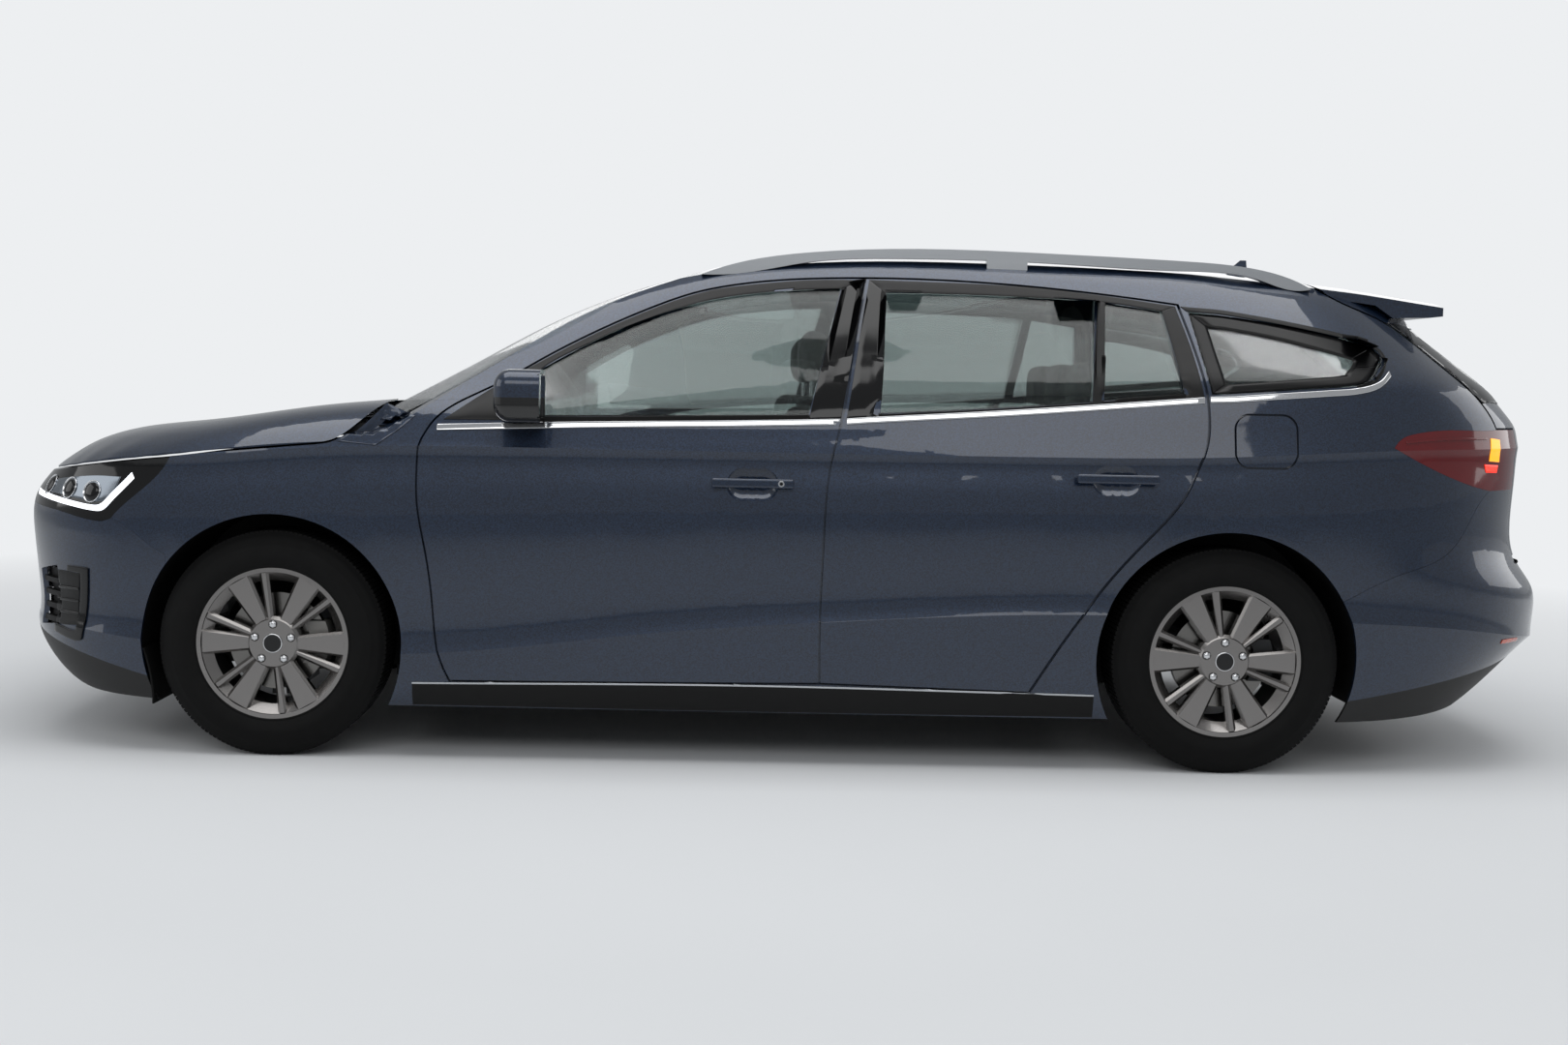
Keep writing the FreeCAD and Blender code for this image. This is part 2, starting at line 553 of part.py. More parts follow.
def follow(shares, place):
    """Give the smooth value at a place along a table of (place, value) shares."""
    if place <= shares[0][0]:
        return shares[0][1]
    if place >= shares[-1][0]:
        return shares[-1][1]
    slopes = [(b[1] - a[1]) / (b[0] - a[0]) for a, b in zip(shares, shares[1:])]
    for i, slope in enumerate(slopes):
        start, end = shares[i], shares[i + 1]
        if place <= end[0]:
            before = slopes[i - 1] if i else slope
            after = slopes[i + 1] if i + 1 < len(slopes) else slope
            leave = (before + slope) / 2 if before * slope > 0 else 0
            arrive = (slope + after) / 2 if slope * after > 0 else 0
            span = end[0] - start[0]
            t = (place - start[0]) / span
            rise = t * t * (3 - 2 * t)
            return (start[1] + (end[1] - start[1]) * rise
                    + span * (leave * t * (1 - t) ** 2 - arrive * t * t * (1 - t)))
    return shares[-1][1]


LINES = {"floor": FLOOR_LINE_SHARES, "catch": CATCH_LINE_SHARES, "shoulder": SHOULDER_LINE_SHARES,
         "belt": BELT_LINE_SHARES, "edge": EDGE_LINE_SHARES}


def corner_radius(angle, length, width):
    """Give the radius of a plan corner at an angle from the car's centre line."""
    along = (abs(math.cos(angle)) / length) ** CORNER_POWER
    across = (abs(math.sin(angle)) / width) ** CORNER_POWER
    return (along + across) ** (-1 / CORNER_POWER)


def plan_point(place, nose, width, tail):
    """Give X and Y on a plan loop: 0 nose, 1 and 2 the left axle ends, 3 tail."""
    if place > 3:
        x, y = plan_point(6 - place, nose, width, tail)
        return x, -y
    if place < 0:
        x, y = plan_point(-place, nose, width, tail)
        return x, -y
    if place < 1:
        angle = math.radians(90) * place
        radius = corner_radius(angle, nose, width)
        return FRONT_AXLE_X - radius * math.cos(angle), -radius * math.sin(angle)
    if place <= 2:
        swell = SIDE_BULGE * math.sin(math.pi * (place - 1)) ** 2
        return FRONT_AXLE_X + (place - 1) * WHEELBASE, -(width + swell)
    angle = math.radians(90) * (3 - place)
    radius = corner_radius(angle, tail, width)
    return REAR_AXLE_X + radius * math.cos(angle), -radius * math.sin(angle)


def wrap_point(place, row, inset):
    """Give the point of the body wrap at a loop place and a row, moved inward by an inset."""
    below, above, share, width, nose, tail = row
    x, y = plan_point(place, nose * FRONT_OVERHANG - inset, width * BODY_HALF_WIDTH - inset,
                      tail * REAR_OVERHANG - inset)
    station = x_station(x)
    low = follow(LINES[below], station)
    high = follow(LINES[above], station)
    return Vector(x, y, (low + (high - low) * share) * BODY_HEIGHT)


def chord_shares(rows):
    """Give the mean share of the way along rows of points at which each point lies."""
    steps = [sum((row[i] - row[i - 1]).Length for row in rows) for i in range(1, len(rows[0]))]
    return [sum(steps[:i]) / sum(steps) for i in range(len(steps) + 1)]


def smooth_curve(points, shares):
    """Interpolate a curve through points at given shares of its length."""
    curve = Part.BSplineCurve()
    curve.interpolate(Points=points, Parameters=shares)
    return curve


def grid_surface(grid, long_shares):
    """Interpolate a smooth surface through a grid, one row of points to each place."""
    cross_shares = chord_shares(grid)
    along = [smooth_curve(list(line), long_shares) for line in zip(*grid)]
    across = [smooth_curve(list(poles), cross_shares)
              for poles in zip(*[curve.getPoles() for curve in along])]
    surface = Part.BSplineSurface()
    surface.buildFromPolesMultsKnots([curve.getPoles() for curve in across],
                                     along[0].getMultiplicities(), across[0].getMultiplicities(),
                                     along[0].getKnots(), across[0].getKnots(),
                                     False, False, along[0].Degree, across[0].Degree)
    return surface


def slab(outer, inner, seams):
    """Give the closed solid between two like grids, creased at the rows that seams names."""
    long_shares = chord_shares([list(line) for line in zip(*outer)])
    faces = []
    bands = list(zip(seams, seams[1:]))
    for low, high in bands:
        skins = [grid_surface([row[low:high + 1] for row in grid], long_shares)
                 for grid in (outer, inner)]
        low_u, high_u, low_v, high_v = skins[0].bounds()
        faces += [skin.toShape() for skin in skins]
        rims = [[skin.uIso(low_u).toShape(), skin.uIso(high_u).toShape()] for skin in skins]
        if low == seams[0]:
            for rim, skin in zip(rims, skins):
                rim.append(skin.vIso(low_v).toShape())
        if high == seams[-1]:
            for rim, skin in zip(rims, skins):
                rim.append(skin.vIso(high_v).toShape())
        faces += [Part.makeRuledSurface(near, far) for near, far in zip(*rims)]
    shell = Part.makeCompound(faces)
    shell.sewShape()
    solid = Part.Solid(shell.Shells[0] if shell.Shells else Part.Shell(shell.Faces))
    if solid.Volume < 0:
        solid.reverse()
    return solid


def spread(start, end, count):
    """Give evenly spaced values from start to end."""
    return [start + (end - start) * i / (count - 1) for i in range(count)]


def depth_at(index, depths):
    """Give the inset of a wrap row: the first depth below the shoulder, the second above."""
    low_depth, high_depth = depths
    blend = min(max((index - SHOULDER_ROW) / SHOULDER_SPAN, 0), 1)
    return low_depth + (high_depth - low_depth) * blend


def wrap_slab(places, seams, outer_depths, inner_depths):
    """Give the closed solid of a stretch of the body wrap between two insets."""
    rows = list(enumerate(WRAP_ROW_SHARES))[seams[0]:seams[-1] + 1]
    grids = [[[wrap_point(place, row, depth_at(index, depths)) for index, row in rows]
              for place in places]
             for depths in (outer_depths, inner_depths)]
    return slab(*grids, [seam - seams[0] for seam in seams])


def side_slab(outer_depths, inner_depths):
    """Give a layer of the left body side from the nose corner to the tail."""
    return wrap_slab(SIDE_PLACES, ALL_SEAMS, outer_depths, inner_depths)


def nose_slab(outer, inner):
    """Give a layer of the nose below the bonnet's edge."""
    return wrap_slab(NOSE_PLACES, LOWER_SEAMS, (outer, outer), (inner, inner))


def tail_slab(outer, inner, seams):
    """Give a layer of the tail."""
    return wrap_slab(TAIL_PLACES, seams, (outer, outer), (inner, inner))


def smooth_edge(points):
    """Give the smooth edge through points, straight where there are only two."""
    if len(points) == 2:
        return Part.LineSegment(*points).toShape()
    curve = Part.BSplineCurve()
    curve.interpolate(points)
    return curve.toShape()


def outward(start, end, turn):
    """Give the outward normal in the side view of a step along an outline."""
    step = end - start
    return Vector(step.z, 0, -step.x).normalize() * turn


def grown_curves(curves, gaps):
    """Move the joined curves of a side view outline outward, each by its own gap."""
    points = [[at(*share) for share in curve] for curve in curves]
    loop = [(point, gap) for curve, gap in zip(points, gaps) for point in curve[:-1]]
    area = sum(a[0].x * b[0].z - b[0].x * a[0].z for a, b in zip(loop, loop[1:] + loop[:1]))
    turn = 1 if area > 0 else -1
    moved_loop = []
    for i, (point, gap) in enumerate(loop):
        before, gap_before = loop[i - 1]
        after = loop[(i + 1) % len(loop)][0]
        first, second = outward(before, point, turn), outward(point, after, turn)
        across_turn = 1 + first.dot(second)
        spare = 1 - first.dot(second) ** 2
        if spare < SHARP_TURN_SHARE:
            moved_loop.append(point + (first + second) * ((gap + gap_before) / 2 / across_turn))
        else:
            mix = first.dot(second)
            moved_loop.append(point + first * ((gap_before - gap * mix) / spare)
                              + second * ((gap - gap_before * mix) / spare))
    result, start = [], 0
    for curve in points:
        end = start + len(curve) - 1
        result.append([moved_loop[i % len(moved_loop)] for i in range(start, end + 1)])
        start = end
    return result


def side_prism(curves, gaps=None):
    """Extrude across the left half of the car a side view outline, grown by its gaps."""
    wire = Part.Wire([smooth_edge(curve) for curve in grown_curves(curves, gaps or [0] * len(curves))])
    face = Part.Face(wire)
    face.translate(Vector(0, -BODY_HALF_WIDTH - OVERRUN, 0))
    return face.extrude(Vector(0, BODY_HALF_WIDTH + OVERRUN, 0))


def front_prism(points, x_start, x_end):
    """Extrude along X the front view outline of (half-width share, height share) points."""
    corners = [Vector(x_start, y * BODY_HALF_WIDTH, z * BODY_HEIGHT) for y, z in points]
    return Part.Face(Part.makePolygon(corners + corners[:1])).extrude(Vector(x_end - x_start, 0, 0))


def moved(shape, x=0, y=0, z=0):
    """Give a copy of a shape shifted by an offset."""
    copy = shape.copy()
    copy.translate(Vector(x, y, z))
    return copy


def mirrored(shape):
    """Give the shape on the other side of the car's centre plane."""
    return shape.mirror(Vector(0, 0, 0), Vector(0, 1, 0))


def both(shape):
    """Give a left shape and its right twin."""
    return [shape, mirrored(shape)]


def block(x_start, x_end, y_start, y_end, z_start, z_end):
    """Give a box between two corners."""
    return Part.makeBox(x_end - x_start, y_end - y_start, z_end - z_start,
                        Vector(x_start, y_start, z_start))


def rounded_block(x_start, x_end, y_start, y_end, z_start, z_end, radius):
    """Give a box with every edge rounded."""
    box = block(x_start, x_end, y_start, y_end, z_start, z_end)
    return box.makeFillet(radius, box.Edges)


def across(x, y, z, radius, length):
    """Give a cylinder along Y that starts at a point."""
    return Part.makeCylinder(radius, length, Vector(x, y, z), Vector(0, 1, 0))


def along_y(edge):
    """Say whether an edge runs across the car."""
    return abs(edge.tangentAt(0).y) > abs(edge.tangentAt(0).x) + abs(edge.tangentAt(0).z)


SHOULDER_ROW = 10
SIDE_PLACES = [place for i, count in enumerate(SIDE_PLACE_COUNTS)
               for place in spread(SIDE_PLACE_SHARES[i], SIDE_PLACE_SHARES[i + 1], count)[min(i, 1):]]
NOSE_PLACES = spread(*NOSE_PLACE_SHARES, NOSE_PLACE_COUNT)
TAIL_PLACES = spread(*TAIL_PLACE_SHARES, TAIL_PLACE_COUNT)


def windscreen_grid(shift):
    """Give the grid of the windscreen's surface moved back by a shift."""
    return [[Vector(station_x(follow(WINDSCREEN_SHARES, z_share)) + shift
                    + WINDSCREEN_BOW * (y_share * BODY_HALF_WIDTH / SCREEN_HALF_WIDTH) ** 2,
                    y_share * BODY_HALF_WIDTH, z_share * BODY_HEIGHT)
             for z_share in spread(*SCREEN_SPAN_SHARES, SCREEN_COUNT)]
            for y_share in spread(-1.0, 1.0, SCREEN_COUNT)]


def screen_slab(front, back):
    """Give a layer of the windscreen's surface between two shifts along X."""
    return slab(windscreen_grid(front), windscreen_grid(back), (0, SCREEN_COUNT - 1))


def roof_point(station, y, drop):
    """Give a point of the roof's surface, lowered by a drop."""
    edge = follow(EDGE_LINE_SHARES, station) * BODY_HEIGHT
    across_share = min(abs(y) / (ROOF_EDGE_SHARE * BODY_HALF_WIDTH), 1)
    return Vector(station_x(station), y,
                  edge + ROOF_SEAT + ROOF_CROWN * (1 - across_share ** 4) - drop)


def roof_slab(top, bottom):
    """Give a layer of the roof from the windscreen to the spoiler's lip."""
    widths = spread(-ROOF_EDGE_SHARE, ROOF_EDGE_SHARE, ROOF_WIDTH_COUNT)
    grids = [[[roof_point(station, width * BODY_HALF_WIDTH, drop) for width in widths]
              for station in ROOF_PLACE_SHARES] for drop in (top, bottom)]
    return slab(*grids, (0, ROOF_WIDTH_COUNT - 1))


def keep(name, *shapes):
    """Keep the solids of shapes as one node, without slivers."""
    pieces = [solid for shape in shapes for solid in shape.Solids if solid.Volume > LEAST_SIDE ** 3]
    NODES[name] = pieces[0] if len(pieces) == 1 else Part.makeCompound(pieces)


def largest(shape):
    """Give the largest solid of a shape."""
    return max(shape.Solids, key=lambda solid: solid.Volume)


NODES = {}
SKIN = side_slab((0, 0), (SKIN_WALL, SKIN_WALL))
DOOR_BODY = side_slab((SKIN_WALL / 2, SKIN_WALL / 2), (DOOR_DEPTH, DOOR_UPPER_DEPTH))
FRAME_BODY = side_slab((0, 0), (SILL_DEPTH, PILLAR_DEPTH))
REBATE_ROOM = side_slab((-OVERRUN, -OVERRUN), (REBATE_DEPTH, REBATE_DEPTH))
LAMP_ROOM = side_slab((-OVERRUN, -OVERRUN), (LAMP_DEPTH + SEAT_GAP, LAMP_DEPTH + SEAT_GAP))
SIDE_ROOM = side_slab((-OVERRUN, -OVERRUN), (SILL_DEPTH + SEAT_GAP, PILLAR_DEPTH + SEAT_GAP))
LINER_LIMIT = side_slab((-OVERRUN, -OVERRUN), (SKIN_WALL + SEAM_GAP, SKIN_WALL + SEAM_GAP))
TAIL_LIMIT = tail_slab(-OVERRUN, BUMPER_WALL + LINER_TAIL_GAP, (0, 3))
GLASS_LAYER = side_slab((GLASS_SINK, GLASS_SINK), (GLASS_SINK + GLASS_WALL, GLASS_SINK + GLASS_WALL))
SCREEN_FRONT = screen_slab(-SCREEN_ROOM, SCREEN_SEAT)


def arch_room(x, grown):
    """Give the left wheel's room: a cylinder around an axle, grown beyond the arch."""
    return across(x, -BODY_HALF_WIDTH - OVERRUN, WHEEL_HEIGHT, ARCH_RADIUS + grown,
                  BODY_HALF_WIDTH + OVERRUN)


ARCH_FRONT = arch_room(FRONT_AXLE_X, 0)
ARCH_REAR = arch_room(REAR_AXLE_X, 0)

# Side frames: sill, pillars, cantrail and rear quarter, with the hinge leaves of the doors
DOOR_AXIS_Y = -BODY_HALF_WIDTH - SIDE_BULGE
FRONT_LEAF_X = min(station_x(station) for station, height in FRONT_DOOR_SHARES)
REAR_LEAF_X = min(station_x(station) for station, height in MIDDLE_LINE_SHARES)
LEAF_OUTER_Y = DOOR_AXIS_Y + LEAF_SINK


def hinge_leaf(axis_x, inset, height):
    """Give a leaf that stands out of a pillar into its door, near the door's axis."""
    face_x = axis_x + inset - APERTURE_GAP
    return block(face_x - LEAF_ROOT, face_x + LEAF_REACH, LEAF_OUTER_Y, LEAF_OUTER_Y + LEAF_DEPTH,
                 height, height + LEAF_HEIGHT)


def hinge_slot(axis_x, inset, height):
    """Give the round slot about a door's axis in which its leaf stays clear at every angle."""
    far = math.hypot(inset - APERTURE_GAP + LEAF_REACH, LEAF_SINK + LEAF_DEPTH) + LEAF_SWING_GAP
    disc = Part.makeCylinder(far, LEAF_HEIGHT + 2 * SEAT_GAP,
                             Vector(axis_x, DOOR_AXIS_Y, height - SEAT_GAP), Vector(0, 0, 1))
    return disc.common(block(axis_x, axis_x + far, LEAF_OUTER_Y - LEAF_SWING_GAP, 0,
                             height - SEAT_GAP, height + LEAF_HEIGHT + SEAT_GAP))


LEAF_PLACES = [(axis_x, inset, height) for axis_x, inset in
               ((FRONT_LEAF_X, DOOR_FRONT_INSET), (REAR_LEAF_X, DOOR_MIDDLE_INSET))
               for height in (LEAF_LOW_HEIGHT, LEAF_TOP_HEIGHT)]

# Fuel flap and its room in the left quarter
FLAP_MIDDLE = at(*FUEL_FLAP_MIDDLE_SHARE)


def flap_prism(grown):
    """Give the fuel flap's rounded outline grown by a gap, extruded across the left side."""
    wide, tall = FUEL_FLAP_WIDTH / 2 + grown, FUEL_FLAP_HEIGHT / 2 + grown
    box = block(FLAP_MIDDLE.x - wide, FLAP_MIDDLE.x + wide, -BODY_HALF_WIDTH - OVERRUN, 0,
                FLAP_MIDDLE.z - tall, FLAP_MIDDLE.z + tall)
    return box.makeFillet(FUEL_FLAP_CORNER + grown, [edge for edge in box.Edges if along_y(edge)])


def side_frame():
    """Give the left body side without the fuel flap's room."""
    frame = FRAME_BODY.common(side_prism(FRAME_REGION))
    rebates = [side_prism(FRONT_DOOR, DOOR_GAPS), side_prism(REAR_DOOR, DOOR_GAPS),
               side_prism(FENDER_REGION, [SEAT_GAP] * len(FENDER_REGION)),
               side_prism(REAR_BUMPER_REGION, [SEAM_GAP] * len(REAR_BUMPER_REGION))]
    cuts = [ARCH_REAR, arch_room(REAR_AXLE_X, LINER_ROOM).cut(SKIN), arch_room(FRONT_AXLE_X, LINER_ROOM)]
    cuts += [REBATE_ROOM.common(rebate) for rebate in rebates]
    cuts += [LAMP_ROOM.common(side_prism(TAIL_LAMP_REGION, [SEAT_GAP] * len(TAIL_LAMP_REGION))),
             side_prism(FRONT_DOOR, FRONT_APERTURE), side_prism(REAR_DOOR, REAR_APERTURE),
             side_prism(QUARTER_GLASS_SHARES), SCREEN_FRONT]
    for cut in cuts:
        frame = frame.cut(cut)
    return largest(largest(frame).fuse([hinge_leaf(*place) for place in LEAF_PLACES]))


FRAME = side_frame()
FLAP_LAYER = side_slab((SKIN_WALL + SEAT_GAP, SKIN_WALL + SEAT_GAP),
                       (REBATE_DEPTH + FLAP_REST_ROOT, REBATE_DEPTH + FLAP_REST_ROOT))
flap_rest = FLAP_LAYER.common(block(FLAP_MIDDLE.x - FUEL_FLAP_WIDTH / 2 + FLAP_REST_WIDTH,
                                    FLAP_MIDDLE.x - FUEL_FLAP_WIDTH / 2 + 2 * FLAP_REST_WIDTH,
                                    -BODY_HALF_WIDTH - OVERRUN, 0,
                                    FLAP_MIDDLE.z - FLAP_REST_WIDTH, FLAP_MIDDLE.z + FLAP_REST_WIDTH))
keep("side_frame_left", largest(FRAME.cut(REBATE_ROOM.common(flap_prism(PANEL_GAP))).fuse(flap_rest)))
keep("side_frame_right", mirrored(FRAME))
keep("fuel_flap", SKIN.common(flap_prism(0)))

# Roof with the aerial fin and the leaves of the tailgate's hinges
SPLIT_X = station_x(ROOF_SPLIT_SHARE)
ROOF = roof_slab(0, ROOF_WALL)
roof_front = ROOF.common(block(NOSE_X, SPLIT_X, -BODY_HALF_WIDTH, BODY_HALF_WIDTH, 0, 2 * BODY_HEIGHT))
roof_front = largest(roof_front.cut([FRAME, mirrored(FRAME), SCREEN_FRONT]))
fin_face = Part.Face(Part.makePolygon([at(*share) for share in FIN_SIDE_SHARES + FIN_SIDE_SHARES[:1]]))
fin_face.translate(Vector(0, -BODY_HALF_WIDTH, 0))
fin = fin_face.extrude(Vector(0, 2 * BODY_HALF_WIDTH, 0)).common(front_prism(FIN_FRONT_SHARES, 0, TAIL_X))
fin = fin.cut(block(0, TAIL_X, -BODY_HALF_WIDTH, BODY_HALF_WIDTH, 0,
                    roof_point(x_station(SPLIT_X), 0, ROOF_WALL / 2).z))
LEAF_TOP_Z = roof_point(ROOF_SPLIT_SHARE, TAIL_LEAF_Y, ROOF_WALL).z + TAIL_LEAF_LIFT + TAIL_LEAF_WALL
TAIL_LEAF_FAR = math.hypot(TAIL_LEAF_REACH, TAIL_AXIS_HEIGHT - LEAF_TOP_Z + TAIL_LEAF_WALL) + LEAF_SWING_GAP


def tail_leaf(y):
    """Give a leaf of the tailgate's hinge in the roof's rear edge."""
    return block(SPLIT_X - LEAF_ROOT, SPLIT_X + TAIL_LEAF_REACH, y - TAIL_LEAF_WIDTH / 2,
                 y + TAIL_LEAF_WIDTH / 2, LEAF_TOP_Z - TAIL_LEAF_WALL, LEAF_TOP_Z)


def tail_slot(y):
    """Give the round slot about the tailgate's axis around a leaf."""
    disc = across(SPLIT_X, y - TAIL_LEAF_WIDTH / 2 - SEAT_GAP, TAIL_AXIS_HEIGHT, TAIL_LEAF_FAR,
                  TAIL_LEAF_WIDTH + 2 * SEAT_GAP)
    return disc.common(block(SPLIT_X, TAIL_X, -BODY_HALF_WIDTH, BODY_HALF_WIDTH, 0,
                             LEAF_TOP_Z + TAIL_LEAF_GAP))


roof_front = roof_front.fuse([fin, tail_leaf(TAIL_LEAF_Y), tail_leaf(-TAIL_LEAF_Y)])
keep("roof_panel", largest(roof_front))

# Windscreen
glass_outline = [(-y, z) for y, z in GLASS_SIDE_SHARES]
glass_outline += [(y, z) for y, z in reversed(GLASS_SIDE_SHARES[:-1])]
keep("windscreen", largest(screen_slab(0, GLASS_WALL).common(front_prism(glass_outline, NOSE_X, 0))))


# Doors with their handles and glass
def handle(station, height_share):
    """Give a door's bar handle with its two posts."""
    middle = at(station, height_share)
    skin_y = -BODY_HALF_WIDTH * HANDLE_SIDE_SHARE
    start, end = middle.x - HANDLE_LENGTH / 2, middle.x + HANDLE_LENGTH / 2
    low, top = middle.z - HANDLE_HEIGHT / 2, middle.z + HANDLE_HEIGHT / 2
    bar = rounded_block(start, end, skin_y - HANDLE_REACH, skin_y - HANDLE_REACH + HANDLE_WALL, low, top,
                        HANDLE_ROUND)
    posts = [block(x, x + HANDLE_POST, skin_y - HANDLE_REACH + HANDLE_WALL / 2, skin_y + SKIN_WALL,
                   low + HANDLE_ROUND, top - HANDLE_ROUND)
             for x in (start + HANDLE_ROUND, end - HANDLE_ROUND - HANDLE_POST)]
    return bar.fuse(posts)


def handle_cup(station, height_share):
    """Give the rounded hollow behind a door's handle."""
    middle = at(station, height_share)
    ball_y = -BODY_HALF_WIDTH * HANDLE_SIDE_SHARE - CUP_RADIUS + CUP_DEPTH
    balls = [Part.makeSphere(CUP_RADIUS, Vector(middle.x + step, ball_y, middle.z))
             for step in (-CUP_STEP, 0, CUP_STEP)]
    return balls[0].fuse(balls[1:])


def door_panel(outline, gaps, insets, windows, handle_place, leaves):
    """Give a door: a skin that overlaps its opening, a deep inner body and a handle."""
    skin = SKIN.common(side_prism(outline, gaps))
    inner = DOOR_BODY.common(side_prism(outline, insets))
    door = skin.fuse(inner).cut([side_prism(window) for window in windows])
    door = door.cut([handle_cup(*handle_place), *[hinge_slot(*place) for place in leaves]])
    return largest(largest(door).fuse(handle(*handle_place)))


def glass_in(outline):
    """Give a pane just inside its opening."""
    return GLASS_LAYER.common(side_prism(outline, [-SEAT_GAP] * len(outline)))


front_door = door_panel(FRONT_DOOR, FRONT_DOOR_GAPS, FRONT_INSETS, [FRONT_GLASS_SHARES],
                        FRONT_HANDLE_SHARES, LEAF_PLACES[:2])
rear_door = door_panel(REAR_DOOR, None, REAR_INSETS, [REAR_GLASS_SHARES, FIXED_GLASS_SHARES],
                       REAR_HANDLE_SHARES, LEAF_PLACES[2:])
front_glass = glass_in(FRONT_GLASS_SHARES)
rear_glasses = [glass_in(REAR_GLASS_SHARES), glass_in(FIXED_GLASS_SHARES)]
quarter_glass = glass_in(QUARTER_GLASS_SHARES)
keep("door_front_left", front_door)
keep("door_front_right", mirrored(front_door))
keep("door_rear_left", rear_door)
keep("door_rear_right", mirrored(rear_door))
keep("glass_front_left", front_glass)
keep("glass_front_right", mirrored(front_glass))
keep("glasses_rear_left", *rear_glasses)
keep("glasses_rear_right", *[mirrored(pane) for pane in rear_glasses])
keep("quarter_glasses", quarter_glass, mirrored(quarter_glass))

# Front wings
fender = SKIN.common(side_prism(FENDER_REGION)).cut([side_prism(FRONT_DOOR, DOOR_GAPS), ARCH_FRONT,
                                                    SCREEN_FRONT])
fender = largest(fender)
keep("front_fenders", fender, mirrored(fender))


# Bonnet
def bonnet_point(x, y, drop):
    """Give the point of the bonnet's surface over a plan point, lowered by a drop."""
    station = x_station(x)
    forward = max(FRONT_AXLE_X - x, 0) / (FRONT_OVERHANG * BONNET_NOSE_SHARE)
    sideways = abs(y) / (BODY_HALF_WIDTH * BONNET_WIDTH_SHARE)
    reach = (forward ** CORNER_POWER + sideways ** CORNER_POWER) ** (1 / CORNER_POWER)
    crown = follow(BONNET_CROWN_SHARES, station)
    edge = follow(SHOULDER_LINE_SHARES, station)
    power = BONNET_POWER_NOSE + (BONNET_POWER_COWL - BONNET_POWER_NOSE) * min(station, 1)
    height = crown - (crown - edge) * min(reach, REACH_LIMIT_SHARE) ** power
    return Vector(x, y, height * BODY_HEIGHT - drop)


def bonnet_slab(top, bottom):
    """Give a layer of the bonnet's height field."""
    grids = [[[bonnet_point(station_x(place), width * BODY_HALF_WIDTH, drop)
               for width in BONNET_WIDTH_SHARES] for place in BONNET_PLACE_SHARES]
             for drop in (top, bottom)]
    return slab(*grids, (0, len(BONNET_WIDTH_SHARES) - 1))


def bonnet_plan(inset, rear_x):
    """Give the room inside the bonnet's plan outline, up to a rear line."""
    nose = FRONT_OVERHANG * BONNET_NOSE_SHARE - inset
    width = BODY_HALF_WIDTH * BONNET_WIDTH_SHARE - inset
    points = [Vector(*plan_point(place, nose, width, nose), 0)
              for place in spread(-1.0, 1.0, TAIL_PLACE_COUNT)]
    back = [points[-1], Vector(rear_x, points[-1].y, 0), Vector(rear_x, points[0].y, 0), points[0]]
    wire = Part.Wire([smooth_edge(points),
                      *[Part.LineSegment(a, b).toShape() for a, b in zip(back, back[1:])]])
    return Part.Face(wire).extrude(Vector(0, 0, 2 * BODY_HEIGHT))


COWL_X = station_x(COWL_SHARE)
BONNET_ROOM = side_prism(BONNET_ROOM_SHARES, [-PANEL_GAP] * len(BONNET_ROOM_SHARES))
BONNET_BOTH = BONNET_ROOM.fuse(mirrored(BONNET_ROOM)).removeSplitter()
bonnet_skin = bonnet_slab(0, BONNET_SKIN).common(bonnet_plan(BONNET_EDGE_GAP, COWL_X)).common(BONNET_BOTH)
bonnet_skin = largest(bonnet_skin.cut(screen_slab(-COWL_GAP, SCREEN_ROOM)))
bonnet_inner = bonnet_slab(BONNET_SKIN / 2, BONNET_PANEL).common(
    bonnet_plan(BONNET_LIP, COWL_X - BONNET_LIP)).common(BONNET_BOTH)
bonnet_inner = largest(bonnet_inner.cut(screen_slab(-COWL_GAP - BONNET_LIP, SCREEN_ROOM)))
keep("bonnet", largest(bonnet_skin.fuse(bonnet_inner)))

# Nose: headlamps, bumper and grilles
LAMP_LIMIT_Y = -BODY_HALF_WIDTH * NOSE_LAMP_SHARE
lamp = nose_slab(0, LAMP_DEPTH).common(side_prism(HEADLAMP_SHARES)).cut(
    block(NOSE_X - OVERRUN, 0, LAMP_LIMIT_Y, BODY_HALF_WIDTH, 0, BODY_HEIGHT))
lamp = largest(lamp)
keep("headlamps", lamp, mirrored(lamp))
LAMP_SEAT = side_prism(HEADLAMP_SHARES, [SEAT_GAP] * len(HEADLAMP_SHARES)).cut(
    block(NOSE_X - OVERRUN, 0, LAMP_LIMIT_Y + SEAT_GAP, BODY_HALF_WIDTH, 0, BODY_HEIGHT))
BUMPER_SIDE = side_prism(BUMPER_SIDE_SHARES, [-SEAT_GAP] * len(BUMPER_SIDE_SHARES))
bumper = nose_slab(0, BUMPER_WALL).common(BUMPER_SIDE.fuse(mirrored(BUMPER_SIDE)))
openings = [front_prism(points, NOSE_X - OVERRUN, FRONT_AXLE_X - ARCH_RADIUS)
            for points in (GRILLE_SHARES, LOWER_GRILLE_SHARES, VENT_SHARES,
                           [(-y, z) for y, z in VENT_SHARES])]
bumper = bumper.cut([LAMP_SEAT, mirrored(LAMP_SEAT), ARCH_FRONT, mirrored(ARCH_FRONT), *openings])
keep("front_bumper", largest(bumper))
grille_layer = nose_slab(GRILLE_SINK, GRILLE_BACK - GRILLE_WALL / 2)
backing = nose_slab(GRILLE_BACK - GRILLE_WALL, GRILLE_BACK)
grilles = []
